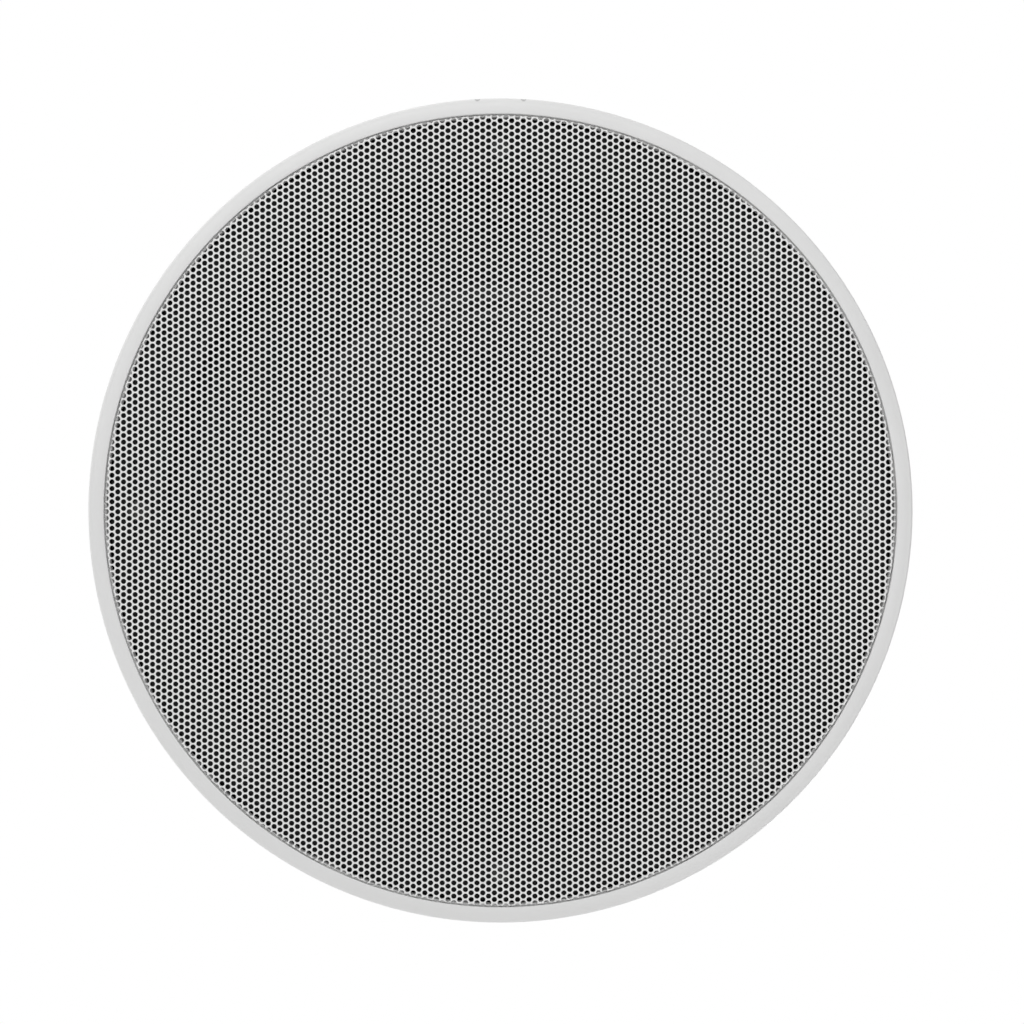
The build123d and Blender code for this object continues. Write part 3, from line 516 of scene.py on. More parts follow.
def carve(target, cutters):
    """Cuts boxes, given as (centre, size) in millimetres, out of a piece."""
    for centre, size in cutters:
        bpy.ops.mesh.primitive_cube_add(size=1.0, location=[c * MM for c in centre])
        cutter = bpy.context.object
        cutter.scale = [s * MM for s in size]
        bpy.context.view_layer.update()
        modifier = target.modifiers.new("cut", "BOOLEAN")
        modifier.operation = "DIFFERENCE"
        modifier.solver = "EXACT"
        modifier.object = cutter
        bpy.context.view_layer.update()
        graph = bpy.context.evaluated_depsgraph_get()
        cut = bpy.data.meshes.new_from_object(target.evaluated_get(graph))
        target.modifiers.clear()
        target.data = cut
        bpy.data.objects.remove(cutter)
    target.data.polygons.foreach_set("use_smooth", [True] * len(target.data.polygons))
    target.data.set_sharp_from_angle(angle=math.radians(TURNED_SHARP))


# Grille sheet

EDGE_MARGIN = 0.02
EDGE_REACH = 0.5
WELD_PER_MM = 2000
SLIVER = 1e-7
CROSSING_GAP = 1e-5


def hole_polygon():
    """One hole as a polygon of the round hole's own area."""
    grow = math.sqrt(2 * math.pi / (HOLE_SIDES * math.sin(2 * math.pi / HOLE_SIDES)))
    angles = 2 * math.pi * (np.arange(HOLE_SIDES) + 0.5) / HOLE_SIDES
    return HOLE_R * grow * np.column_stack((np.cos(angles), np.sin(angles)))


def cell_corners():
    """The six corners of the web round one hole, shared with its neighbours."""
    near = (COLUMN_PITCH**2 / 2 - HOLE_PITCH**2 / 8) / COLUMN_PITCH
    far = COLUMN_PITCH - near
    half = HOLE_PITCH / 2
    return np.array(
        [(far, 0), (near, half), (-near, half), (-far, 0), (-near, -half), (near, -half)]
    )


def web_template(corners, hole):
    """Triangles between a cell's corners and its hole, whose points come after them."""
    outer = np.degrees(np.arctan2(corners[:, 1], corners[:, 0])) % 360.0
    inner = np.degrees(np.arctan2(hole[:, 1], hole[:, 0])) % 360.0
    n_out, n_in = len(outer), len(inner)
    triangles = []
    i, j = 0, 0
    while i < n_out or j < n_in:
        next_outer = outer[(i + 1) % n_out] + 360.0 * ((i + 1) // n_out)
        next_inner = inner[(j + 1) % n_in] + 360.0 * ((j + 1) // n_in)
        if j >= n_in or (i < n_out and next_outer <= next_inner):
            triangles.append((i % n_out, (i + 1) % n_out, n_out + j % n_in))
            i += 1
        else:
            triangles.append((i % n_out, n_out + (j + 1) % n_in, n_out + j % n_in))
            j += 1
    return np.array(triangles)


def nearest_hole(points):
    """Column and row of the lattice hole nearest to each point."""
    best = np.full(len(points), np.inf)
    found = np.zeros((len(points), 2), int)
    base = np.round((points[:, 0] - HOLE_X) / COLUMN_PITCH).astype(int)
    for step in (-1, 0, 1):
        column = base + step
        shift = HOLE_Y + 0.5 * HOLE_PITCH * (column % 2)
        row = np.round((points[:, 1] - shift) / HOLE_PITCH).astype(int)
        x = HOLE_X + column * COLUMN_PITCH
        y = shift + row * HOLE_PITCH
        gap = (points[:, 0] - x) ** 2 + (points[:, 1] - y) ** 2
        closer = gap < best
        best = np.where(closer, gap, best)
        found[closer, 0] = column[closer]
        found[closer, 1] = row[closer]
    return found


def hole_centres(cells):
    x = HOLE_X + cells[:, 0] * COLUMN_PITCH
    y = HOLE_Y + (cells[:, 1] + 0.5 * (cells[:, 0] % 2)) * HOLE_PITCH
    return np.column_stack((x, y))


def sheet_triangles():
    """The flat perforated disc as points, triangles and each triangle's column."""
    corners, hole = cell_corners(), hole_polygon()
    reach = int(SHEET_R / COLUMN_PITCH) + 3
    cells = np.array([(c, r) for c in range(-reach, reach + 1) for r in range(-reach, reach + 1)])
    centres = hole_centres(cells)
    corner_points = centres[:, None, :] + corners[None, :, :]
    furthest = np.hypot(corner_points[..., 0], corner_points[..., 1]).max(axis=1)
    closest = np.hypot(corner_points[..., 0], corner_points[..., 1]).min(axis=1)
    apothem = SHEET_R * math.cos(math.pi / EDGE_SEGMENTS)
    inside = furthest < apothem - EDGE_MARGIN
    edge = ~inside & (closest < SHEET_R + EDGE_REACH)

    template = web_template(corners, hole)
    local = np.vstack((corners, hole))
    points = (centres[inside][:, None, :] + local[None, :, :]).reshape(-1, 2)
    count = int(inside.sum())
    first_points = np.arange(count) * len(local)
    triangles = (template[None, :, :] + first_points[:, None, None]).reshape(-1, 3)
    columns = np.repeat(cells[inside][:, 0], len(template))

    loose, lines = [], []

    def outline(path):
        first = len(loose)
        loose.extend(Vector(p) for p in path.tolist())
        size = len(path)
        lines.extend((first + i, first + (i + 1) % size) for i in range(size))

    for centre in centres[edge]:
        outline(centre + corners)
        outline(centre + hole)
    turn = 2 * math.pi * np.arange(EDGE_SEGMENTS) / EDGE_SEGMENTS
    outline(SHEET_R * np.column_stack((np.cos(turn), np.sin(turn))))
    made = delaunay_2d_cdt(loose, lines, [], 0, CROSSING_GAP)
    spots = np.array([tuple(p) for p in made[0]])
    wedges = np.array([tuple(f) for f in made[2]])
    middles = spots[wedges].mean(axis=1)
    owners = nearest_hole(middles)
    kept_cells = {tuple(c) for c in cells[edge].tolist()}
    own = np.array([tuple(o) in kept_cells for o in owners.tolist()])
    offset = middles - hole_centres(owners)
    sector = 2 * math.pi / HOLE_SIDES
    flat = np.hypot(*hole[0]) * math.cos(sector / 2)
    along = np.arctan2(offset[:, 1], offset[:, 0]) - sector / 2
    along = (along % sector) - sector / 2
    outside_hole = np.hypot(offset[:, 0], offset[:, 1]) * np.cos(along) > flat
    step = 2 * math.pi / EDGE_SEGMENTS
    bearing = np.arctan2(middles[:, 1], middles[:, 0]) % step - step / 2
    in_disc = np.hypot(middles[:, 0], middles[:, 1]) * np.cos(bearing) < apothem
    keep = own & outside_hole & in_disc
    wedges = wedges[keep]
    a, b, c = spots[wedges[:, 0]], spots[wedges[:, 1]], spots[wedges[:, 2]]
    area = (b[:, 0] - a[:, 0]) * (c[:, 1] - a[:, 1]) - (b[:, 1] - a[:, 1]) * (c[:, 0] - a[:, 0])
    wedges[area < 0] = wedges[area < 0][:, ::-1]
    solid = np.abs(area) > SLIVER
    wedges = wedges[solid]
    owners = owners[keep][solid]

    triangles = np.vstack((triangles, wedges + len(points)))
    columns = np.concatenate((columns, owners[:, 0]))
    points = np.vstack((points, spots))
    keys = np.round(points * WELD_PER_MM).astype(np.int64)
    _, first, where = np.unique(keys, axis=0, return_index=True, return_inverse=True)
    triangles = where.reshape(-1)[triangles]
    points = points[first]
    good = (
        (triangles[:, 0] != triangles[:, 1])
        & (triangles[:, 1] != triangles[:, 2])
        & (triangles[:, 2] != triangles[:, 0])
    )
    return points, triangles[good], columns[good]


def thick_sheet(name, points, triangles):
    """Gives flat triangles the sheet's thickness, with walls round every hole and edge."""
    used, flat = np.unique(triangles, return_inverse=True)
    flat = flat.reshape(-1, 3)
    spots = points[used]
    size = len(spots)
    front = np.column_stack((spots, np.full(size, SHEET_FRONT_Z)))
    back = np.column_stack((spots, np.full(size, SHEET_BACK_Z)))
    edges = np.vstack((flat[:, [0, 1]], flat[:, [1, 2]], flat[:, [2, 0]]))
    forward = edges[:, 0] * size + edges[:, 1]
    backward = edges[:, 1] * size + edges[:, 0]
    open_edges = edges[~np.isin(forward, backward)]
    u, v = open_edges[:, 0], open_edges[:, 1]
    walls = np.vstack(
        (np.column_stack((v + size, u + size, u)), np.column_stack((v + size, u, v)))
    )
    faces = np.vstack((flat[:, ::-1], flat + size, walls))
    return mesh_object(name, np.vstack((front, back)), faces, "sheet")


points, triangles, columns = sheet_triangles()
order = np.sort(columns)
cuts = [order[len(order) * i // SHEET_BANDS] for i in range(1, SHEET_BANDS)]
band_of = np.searchsorted(cuts, columns, side="right")
for band in range(SHEET_BANDS):
    piece = thick_sheet(f"grille_sheet_band_{band + 1}", points, triangles[band_of == band])
    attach(piece, "grille")
    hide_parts("grille_sheet")


# Grille rim, with its face and notches as the photograph's shading shows them

EASE = 0.3
FACE_FLAT = 0.7
FACE_DROP = 0.85
EDGE_ROUND = 1.1
PRY_W = 13.9
PRY_H = 1.44
PRY_DEEP = 4.4
PRY_Z = SKIRT_Z - 0.7
LEDGE_TIP = 0.2
NOTCH_W = 0.9
NOTCH_D = 0.4
NOTCH_H = 2.4
GROOVE_Z = -5.3
shoulder_r = RIM_R - EDGE_ROUND
shoulder_z = CREST_Z + FACE_DROP
rim_profile = [
    (LEDGE_R, LEDGE_BACK_Z),
    (LEDGE_R, LEDGE_BACK_Z - LEDGE_TIP),
    (SHOULDER_R, SHEET_BACK_Z),
    (SHEET_R, SHEET_BACK_Z),
    (SHEET_R, GROOVE_Z),
    (RIM_INNER_R, GROOVE_Z),
    *arc((RIM_INNER_R + EASE, CREST_Z + EASE), EASE, EASE, 180, 270, 4),
    *[
        (
            RIM_INNER_R + FACE_FLAT + (shoulder_r - RIM_INNER_R - FACE_FLAT) * t,
            CREST_Z + FACE_DROP * t * t,
        )
        for t in np.linspace(0.0, 1.0, 9)
    ],
    *arc((shoulder_r, shoulder_z + EDGE_ROUND), EDGE_ROUND, EDGE_ROUND, 288, 360, 8),
    (RIM_R, SKIRT_Z - EASE),
    (RIM_R - EASE, SKIRT_Z),
    (SKIRT_R, SKIRT_Z),
    (SKIRT_R, LEDGE_BACK_Z),
]
rim = turned("grille_rim_moulding", rim_profile, "rim", segments=360)
carve(
    rim,
    [
        ((0.0, -RIM_R, PRY_Z), (PRY_W, PRY_DEEP, PRY_H)),
        ((-PRY_W / 2, -RIM_R, CREST_Z), (NOTCH_W, 2 * NOTCH_D, 2 * NOTCH_H)),
        ((PRY_W / 2, -RIM_R, CREST_Z), (NOTCH_W, 2 * NOTCH_D, 2 * NOTCH_H)),
    ],
)
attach(rim, "grille")
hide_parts("grille_rim")


# Soft pieces round the cone, turned in wedges

WEDGES = 16
WEDGE_SEGMENTS = 10


def soft_wedges(name, profile, look, node):
    """Turns the profile in wedges that take the place of the given node, which is hidden."""
    step = 360.0 / WEDGES
    for index in range(WEDGES):
        wedge = turned(
            f"{name}_{index + 1:02d}", profile, look, WEDGE_SEGMENTS, index * step, step
        )
        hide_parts(node)
        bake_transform(wedge)


SURROUND_IN_R = 58.5
SURROUND_OUT_R = 74.3
lip_z = DRIVER_Z - ROLL_T
dip = math.degrees(math.asin(ROLL_T / ROLL_H))
roll_in = ROLL_H - ROLL_T
surround_profile = [
    (SURROUND_IN_R, DRIVER_Z),
    (SURROUND_IN_R, lip_z),
    *arc((ROLL_R, DRIVER_Z), ROLL_H, ROLL_H, 180 + dip, 360 - dip, 18),
    (SURROUND_OUT_R, lip_z),
    (SURROUND_OUT_R, DRIVER_Z),
    *arc((ROLL_R, DRIVER_Z), roll_in, roll_in, 360, 180, 14),
]
soft_wedges(
    "surround",
    surround_profile,
    "rubber",
    "surround",
)

SPIDER_IN = 16.52
SPIDER_OUT = 44.3
SPIDER_T = 0.5
SPIDER_RINGS = 2
SPIDER_WAVE = 0.7
SPIDER_WAVE_IN = 3.4
SPIDER_WAVE_END = 35.0
front_z = SHELF_Z - SPIDER_T
wave_start, wave_end = SPIDER_IN + SPIDER_WAVE_IN, SPIDER_WAVE_END
swell = np.linspace(0.0, 1.0, 49)
crest = [
    (
        wave_start + (wave_end - wave_start) * t,
        front_z - SPIDER_WAVE * (1 - math.cos(2 * math.pi * SPIDER_RINGS * t)),
    )
    for t in swell
]
spider_front = [(SPIDER_IN, front_z), *crest, (SPIDER_OUT, front_z)]
spider_profile = spider_front + [(r, z + SPIDER_T) for r, z in reversed(spider_front)]
soft_wedges(
    "spider",
    spider_profile,
    "spider",
    "spider",
)


# Tweeter, behind the middle of the grille

THROAT_Z = 11.6
MOTOR_Z = 12.0
MOUTH_Z = 1.0
FLARE_R = 34.7
THROAT_R = 14.0
GUIDE_R = 35.5
GUIDE_FACE_R = 35.3
GUIDE_EASE = 0.2
GUIDE_LIP = 1.4
NECK_OUT_R = 17.2
NECK_IN_R = 15.7
NECK_Z = 17.0
DOME_APEX_Z = 7.6
DOME_SPHERE_R = 20.24
DOME_T = 0.4
DOME_FLANGE_R = 15.4
DOME_OUT_EDGE = -53.3
DOME_IN_EDGE = -53.0
guide_profile = [
    *arc((FLARE_R, THROAT_Z), FLARE_R - THROAT_R, THROAT_Z - MOUTH_Z, 180, 270, 16),
    (GUIDE_FACE_R, MOUTH_Z),
    (GUIDE_R, MOUTH_Z + GUIDE_EASE),
    (GUIDE_R, MOUTH_Z + GUIDE_LIP),
    (NECK_OUT_R, THROAT_Z),
    (NECK_OUT_R, NECK_Z),
    (NECK_IN_R, NECK_Z),
    (NECK_IN_R, THROAT_Z),
]
guide = turned("tweeter_waveguide_smooth", guide_profile, "guide", segments=160)
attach(guide, "frame")
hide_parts("tweeter_waveguide")

dome_centre = (0.0, DOME_APEX_Z + DOME_SPHERE_R)
dome_inside = DOME_SPHERE_R - DOME_T
dome_profile = [
    *arc(dome_centre, DOME_SPHERE_R, DOME_SPHERE_R, -90, DOME_OUT_EDGE, 14),
    (DOME_FLANGE_R, THROAT_Z),
    (DOME_FLANGE_R, MOTOR_Z),
    *arc(dome_centre, dome_inside, dome_inside, DOME_IN_EDGE, -90, 14),
]
dome = turned("tweeter_dome_smooth", dome_profile, "dome", segments=96)
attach(dome, "frame")
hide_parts("tweeter_dome")


# Fasteners

CLAMP_PITCH_R = 90.2
CLAMP_ANGLES = (-90.0, 30.0, 150.0)
CLAMP_HEAD_Z = 2.2
CLAMP_SEAT_Z = 5.0
CLAMP_END_Z = 60.0
DRIVER_SCREW_PITCH_R = 79.0
DRIVER_SEAT_Z = 9.7
BOARD_BACK_Z = 14.6
BOARD_SCREWS = ((-30.2, 83.3), (-30.2, 95.2), (30.2, 83.3), (30.2, 95.2))
BOARD_Y = 89.25
CLAMP_THREAD = {"radius": 2.0, "depth": 0.32, "pitch": 1.4}
CLAMP_HEAD = {"radius": 4.0, "slot_w": 1.0, "slot_l": 5.0, "slot_d": 1.3}
DRIVER_THREAD = {"radius": 1.9, "depth": 0.4, "pitch": 1.6}
DRIVER_HEAD = {"radius": 3.6, "height": 2.3, "slot_w": 0.9, "slot_l": 4.2, "slot_d": 1.1}
DRIVER_TIP_Z = 3.2
BOARD_THREAD = {"radius": 1.3, "depth": 0.28, "pitch": 1.1}
BOARD_HEAD = {"radius": 2.5, "height": 1.8, "slot_w": 0.7, "slot_l": 3.0, "slot_d": 0.9}
BOARD_TIP_Z = 9.0
INTO_HEAD = 0.2
INTO_CLAMP_HEAD = 0.3
HEAD_EASE = 0.12
HEAD_SKIRT_SHARE = 0.35
AS_IS = Matrix.Identity(3)

# Radians by which each screw's recess is turned on from the last one's
DRIVER_TURN = 0.7
BOARD_TURN = 0.9


def join(name, pieces):
    """One object from several, so that a piece with parts stays one piece."""
    bpy.ops.object.select_all(action="DESELECT")
    for piece in pieces:
        piece.select_set(True)
    bpy.context.view_layer.objects.active = pieces[0]
    bpy.ops.object.join()
    made = bpy.context.object
    made.name = name
    return made


def move(piece, turn, place):
    """Turns a piece's mesh, then shifts it, in millimetres."""
    piece.data.transform(Matrix.Translation(Vector(place) * MM) @ turn.to_4x4())
    piece.data.update()
    return piece


def thread(name, look, radius, depth, pitch, start, end, around=20, along=4):
    """A screw's shank with a helical thread, tapered where it ends."""
    rows = int((end - start) / pitch * along) + 1
    height = np.linspace(start, end, rows)
    angle = 2 * math.pi * np.arange(around) / around
    phase = (height[:, None] / pitch - angle[None, :] / (2 * math.pi)) % 1.0
    cut = np.abs(2 * phase - 1)
    taper = np.clip((end - height) / (2 * depth), 0.0, 1.0)[:, None]
    reach = (radius - depth * cut) - depth * (1 - taper)
    spots = np.stack(
        (reach * np.cos(angle), reach * np.sin(angle), np.repeat(height[:, None], around, 1)), 2
    ).reshape(-1, 3)
    mesh = bpy.data.meshes.new(name)
    mesh.from_pydata((spots * MM).tolist(), [], ring_faces(rows, around))
    return placed(name, mesh, look, WIRE_SHARP)


def pan_head(name, look, radius, height, slot_w, slot_l, slot_d):
    """A domed head that stands on z = 0, with a cross recess in its crown."""
    skirt = HEAD_SKIRT_SHARE * height
    profile = [
        (0.0, 0.0),
        (radius - HEAD_EASE, 0.0),
        (radius, HEAD_EASE),
        (radius, skirt),
        *arc((0.0, skirt), radius, height - skirt, 12, 90, 9),
    ]
    head = turned(name, profile, look, segments=36)
    carve(
        head,
        [
            ((0.0, 0.0, height), (slot_w, slot_l, 2 * slot_d)),
            ((0.0, 0.0, height), (slot_l, slot_w, 2 * slot_d)),
        ],
    )
    return head


def on_circle(radius, degrees):
    angle = math.radians(degrees)
    return radius * math.cos(angle), radius * math.sin(angle)


for number, angle in enumerate(CLAMP_ANGLES, 1):
    centre = on_circle(CLAMP_PITCH_R, angle)
    shank = thread(
        f"clamp_shank_{number}",
        "black_zinc",
        start=CLAMP_SEAT_Z - INTO_CLAMP_HEAD,
        end=CLAMP_END_Z,
        **CLAMP_THREAD,
    )
    move(shank, AS_IS, (*centre, 0.0))
    head = pan_head(
        f"clamp_head_{number}", "black_zinc", height=CLAMP_SEAT_Z - CLAMP_HEAD_Z, **CLAMP_HEAD
    )
    move(head, Matrix.Rotation(math.pi, 3, "X"), (*centre, CLAMP_SEAT_Z))
    screw = join(f"clamp_screw_threaded_{number}", [shank, head])
    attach(screw, f"clamp_{number}_screw")
    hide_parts(f"clamp_screw_{number}")

for number in range(4):
    centre = on_circle(DRIVER_SCREW_PITCH_R, 45.0 + 90.0 * number)
    head = pan_head(f"driver_head_{number + 1}", "zinc", **DRIVER_HEAD)
    move(head, Matrix.Rotation(DRIVER_TURN * number, 3, "Z"), (*centre, DRIVER_SEAT_Z))
    shank = thread(
        f"driver_shank_{number + 1}",
        "zinc",
        start=DRIVER_TIP_Z,
        end=DRIVER_SEAT_Z + INTO_HEAD,
        **DRIVER_THREAD,
    )
    move(shank, AS_IS, (*centre, 0.0))
    screw = join(f"driver_screw_{number + 1}", [head, shank])
    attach(screw, "frame")
    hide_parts("driver_screws")

for number, (x, y) in enumerate(BOARD_SCREWS, 1):
    head = pan_head(f"board_head_{number}", "zinc", **BOARD_HEAD)
    move(head, Matrix.Rotation(BOARD_TURN * number, 3, "Z"), (x, y, BOARD_BACK_Z))
    shank = thread(
        f"board_shank_{number}",
        "zinc",
        start=BOARD_TIP_Z,
        end=BOARD_BACK_Z + INTO_HEAD,
        around=16,
        **BOARD_THREAD,
    )
    move(shank, AS_IS, (x, y, 0.0))
    screw = join(f"board_screw_{number}", [head, shank])
    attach(screw, "frame")
    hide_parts("board_screws")


# Crossover parts


def soft_box(name, look, size, place, radius, steps=4):
    """A box with rounded edges, standing on place, in millimetres."""
    mesh = bpy.data.meshes.new(name)
    work = bmesh.new()
    bmesh.ops.create_cube(work, size=1.0)
    bmesh.ops.scale(work, vec=[s * MM for s in size], verts=work.verts)
    middle = (place[0], place[1], place[2] + size[2] / 2)
    bmesh.ops.translate(work, vec=[c * MM for c in middle], verts=work.verts)
    bmesh.ops.bevel(
        work, geom=list(work.edges), offset=radius * MM, segments=steps, profile=0.5, affect="EDGES"
    )
    work.to_mesh(mesh)
    work.free()
    return placed(name, mesh, look, BOX_SHARP)


FILLET_TOP_R = 0.5
FILLET_LIP = 0.1


def fillet(name, x, y, radius, height):
    """A solder fillet round a lead, on the back of the board."""
    profile = [
        (0.0, 0.0),
        (radius, 0.0),
        *arc((radius, height), radius - FILLET_TOP_R, height - FILLET_LIP, 270, 180, 5),
        (0.0, height),
    ]
    bead = turned(name, profile, "solder", segments=20)
    return move(bead, AS_IS, (x, y, BOARD_BACK_Z))


CAN_R = 4.6
CAN_L = 15.0
CAN_X = -2.6
CAN_EASE = 0.5
CAN_LIP = 0.9
CRIMP = 2.6
CRIMP_DEPTH = 0.55
LID_SINK = 0.25
LID_R = CAN_R - 0.95
LID_T = 0.2
LID_GAP = 0.26
LID_GROOVE = (0.35, 5.0)
MARK_T = 0.1
MARK_LOW = 4.2 - CAN_L / 2
MARK_HIGH = CAN_L / 2 - 0.6
MARK_START = 205.0
MARK_SWEEP = 40.0
can_profile = [
    (0.0, -CAN_L / 2),
    (CAN_R - CAN_EASE, -CAN_L / 2),
    *arc((CAN_R - CAN_EASE, CAN_EASE - CAN_L / 2), CAN_EASE, CAN_EASE, 270, 360, 4),
    *[
        (CAN_R - CRIMP_DEPTH * math.sin(math.pi * t) ** 2, CRIMP * 0.5 - CAN_L / 2 + CRIMP * t)
        for t in np.linspace(0.0, 1.0, 11)
    ],
    *arc((CAN_R - CAN_EASE, CAN_L / 2 - CAN_EASE), CAN_EASE, CAN_EASE, 0, 90, 4),
    (CAN_R - CAN_LIP, CAN_L / 2),
    (CAN_R - CAN_LIP, CAN_L / 2 - LID_SINK),
    (0.0, CAN_L / 2 - LID_SINK),
]
lie = Matrix.Rotation(math.radians(-90.0), 3, "X")
can = turned("capacitor_can", can_profile, "sleeve", segments=64)
move(can, lie, (CAN_X, BOARD_Y, BOARD_BACK_Z + CAN_R))
lid_profile = [(0.0, 0.0), (LID_R, 0.0), (LID_R, LID_T), (0.0, LID_T)]
lid = turned("capacitor_lid", lid_profile, "aluminium", segments=48)
carve(
    lid,
    [
        ((0.0, 0.0, LID_T), (*LID_GROOVE, LID_T)),
        ((0.0, 0.0, LID_T), (*LID_GROOVE[::-1], LID_T)),
    ],
)
move(lid, lie, (CAN_X, BOARD_Y + CAN_L / 2 - LID_GAP, BOARD_BACK_Z + CAN_R))
mark_profile = [
    (CAN_R - MARK_T, MARK_LOW),
    (CAN_R, MARK_LOW),
    (CAN_R, MARK_HIGH),
    (CAN_R - MARK_T, MARK_HIGH),
]
mark = turned("capacitor_mark", mark_profile, "stripe", 8, MARK_START, MARK_SWEEP)
move(mark, lie, (CAN_X, BOARD_Y, BOARD_BACK_Z + CAN_R))
capacitor = join("electrolytic_detail", [can, lid, mark])
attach(capacitor, "frame")
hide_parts("electrolytic_capacitor")

FILM_SIZE = (6.0, 14.0, 11.0)
FILM_X = 6.5
FILM_ROUND = 1.7
film = soft_box(
    "film_capacitor_dipped", "amber", FILM_SIZE, (FILM_X, BOARD_Y, BOARD_BACK_Z), FILM_ROUND, 6
)
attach(film, "frame")
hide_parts("film_capacitor")

CASE_SIZE = (6.4, 15.4, 6.4)
CASE_X = 14.0
CASE_ROUND = 0.5
CASE_TRAY = (4.8, 13.8, 0.6)
case = soft_box(
    "resistor_case", "cement", CASE_SIZE, (CASE_X, BOARD_Y, BOARD_BACK_Z), CASE_ROUND, 3
)
carve(case, [((CASE_X, BOARD_Y, BOARD_BACK_Z + CASE_SIZE[2]), CASE_TRAY)])
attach(case, "frame")
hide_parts("power_resistor")


# Insulated leads, each on one easy curve from end to end

LEAD_R = 0.9
PAD_X = 30.0
PAD_SIDE = 1.3
TAG_X = 4.0
BEAD_R = 1.28
BEAD_H = 1.3
DROP_SIZE = (2.2, 1.5, 2.4)
DROP_Y = 42.2
DROP_Z = 39.5
DROP_ROUND = 0.6


def easy_curve(stops, steps=10):
    """Points on a smooth curve through the stops."""
    ends = [2 * stops[0] - stops[1], *stops, 2 * stops[-1] - stops[-2]]
    curve = []
    for a, b, c, d in zip(ends, ends[1:], ends[2:], ends[3:]):
        for t in np.arange(steps) / steps:
            curve.append(
                0.5
                * (
                    2 * b
                    + (c - a) * t
                    + (2 * a - 5 * b + 4 * c - d) * t**2
                    + (3 * b - a - 3 * c + d) * t**3
                )
            )
    return np.array([*curve, stops[-1]])


def tube(name, look, stops, radius, around=14):
    """A round wire along an easy curve, with closed ends."""
    line = easy_curve([np.array(stop, float) for stop in stops])
    ahead = np.gradient(line, axis=0)
    ahead /= np.linalg.norm(ahead, axis=1)[:, None]
    side = np.array((1.0, 0.0, 0.0))
    points = []
    angles = 2 * math.pi * np.arange(around) / around
    for place, way in zip(line, ahead):
        side = side - way * side.dot(way)
        side /= np.linalg.norm(side)
        other = np.cross(way, side)
        points.extend(
            place + radius * (math.cos(a) * side + math.sin(a) * other) for a in angles
        )
    mesh = bpy.data.meshes.new(name)
    mesh.from_pydata((np.array(points) * MM).tolist(), [], ring_faces(len(line), around))
    return placed(name, mesh, look, WIRE_SHARP)


for side, colour in ((-1, "red"), (1, "black")):
    tag = side * TAG_X
    woofer_pad = -PAD_X + side * PAD_SIDE
    woofer_stops = (
        (tag, 41.85, 40.7),
        (tag, 46.5, 41.0),
        (0.82 * tag + 0.18 * woofer_pad, 55.5, 38.8),
        (0.45 * tag + 0.55 * woofer_pad, 70.5, 33.2),
        (0.12 * tag + 0.88 * woofer_pad, 83.5, 29.4),
        (woofer_pad, 88.9, 24.8),
        (woofer_pad, BOARD_Y, 20.0),
        (woofer_pad, BOARD_Y, BOARD_BACK_Z),
    )
    post = side * PAD_SIDE
    tweeter_pad = PAD_X + side * PAD_SIDE
    tweeter_stops = (
        (post, 0.0, 22.0),
        (post, 0.0, 50.0),
        (post, 0.0, 76.0),
        (post + 0.2, 0.3, 81.2),
        (0.88 * post + 0.12 * tweeter_pad, 6.0, 85.6),
        (0.6 * post + 0.4 * tweeter_pad, 20.0, 83.4),
        (0.25 * post + 0.75 * tweeter_pad, 37.5, 82.4),
        (0.03 * post + 0.97 * tweeter_pad, 49.0, 79.6),
        (tweeter_pad, 57.5, 70.0),
        (tweeter_pad, 68.0, 54.5),
        (tweeter_pad, 79.5, 39.0),
        (tweeter_pad, 87.5, 28.0),
        (tweeter_pad, BOARD_Y, 21.0),
        (tweeter_pad, BOARD_Y, BOARD_BACK_Z),
    )
    for way, stops in (("woofer", woofer_stops), ("tweeter", tweeter_stops)):
        wire = tube(f"{way}_lead_{colour}", f"lead_{colour}", stops, LEAD_R)
        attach(wire, "frame")
        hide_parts(f"leads_{colour}")
    for way, pad in (("woofer", woofer_pad), ("tweeter", tweeter_pad)):
        bead = fillet(f"{way}_solder_{colour}", pad, BOARD_Y, BEAD_R, BEAD_H)
        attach(bead, "frame")
    drop = soft_box(
        f"tag_solder_{colour}", "solder", DROP_SIZE, (tag, DROP_Y, DROP_Z), DROP_ROUND
    )
    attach(drop, "frame")


# Smooth shading on the carried-over solids

for node in nodes.values():
    node.data.polygons.foreach_set("use_smooth", [True] * len(node.data.polygons))
    split = node.modifiers.new("edges", "EDGE_SPLIT")
    split.split_angle = math.radians(SOLID_SHARP)


# Stage: places in metres, and the photograph's scale in millimetres to a pixel

CAMERA_DISTANCE = 1.05
SCALE_Z = -0.0053
IMAGE = 1024
PIXEL = 0.30083
RIM_PX = (500.42, 510.53)
CENTRE_X = (IMAGE / 2 - RIM_PX[0]) * PIXEL
CENTRE_Y = (IMAGE / 2 - RIM_PX[1]) * PIXEL

# The world's light: none far below, most just above the horizon, less overhead, more towards +Y
HORIZON_EDGE = (-0.3, 0.05)
HORIZON_LIGHT = 1.5
OVERHEAD_EDGE = (0.25, 0.8)
OVERHEAD_SHARE = 0.45
NEAR_SIDE_EDGE = (0.1, 0.9)
NEAR_SIDE_SHARE = 1.35

# A dark flag above and to the right, which draws the rim's edge there
FLAG_WAY = (0.87, 0.10, 0.48)
FLAG_EDGE = (0.4, 0.75)

world = bpy.data.worlds.new("studio")
bpy.context.scene.world = world
world.use_nodes = True
tree = world.node_tree
tree.nodes.clear()
out = tree.nodes.new("ShaderNodeOutputWorld")
path = tree.nodes.new("ShaderNodeLightPath")
seen = tree.nodes.new("ShaderNodeBackground")
seen.inputs["Color"].default_value = (1.0, 1.0, 1.0, 1.0)
seen.inputs["Strength"].default_value = 1.0
glow = tree.nodes.new("ShaderNodeBackground")
glow.inputs["Color"].default_value = (1.0, 1.0, 1.0, 1.0)


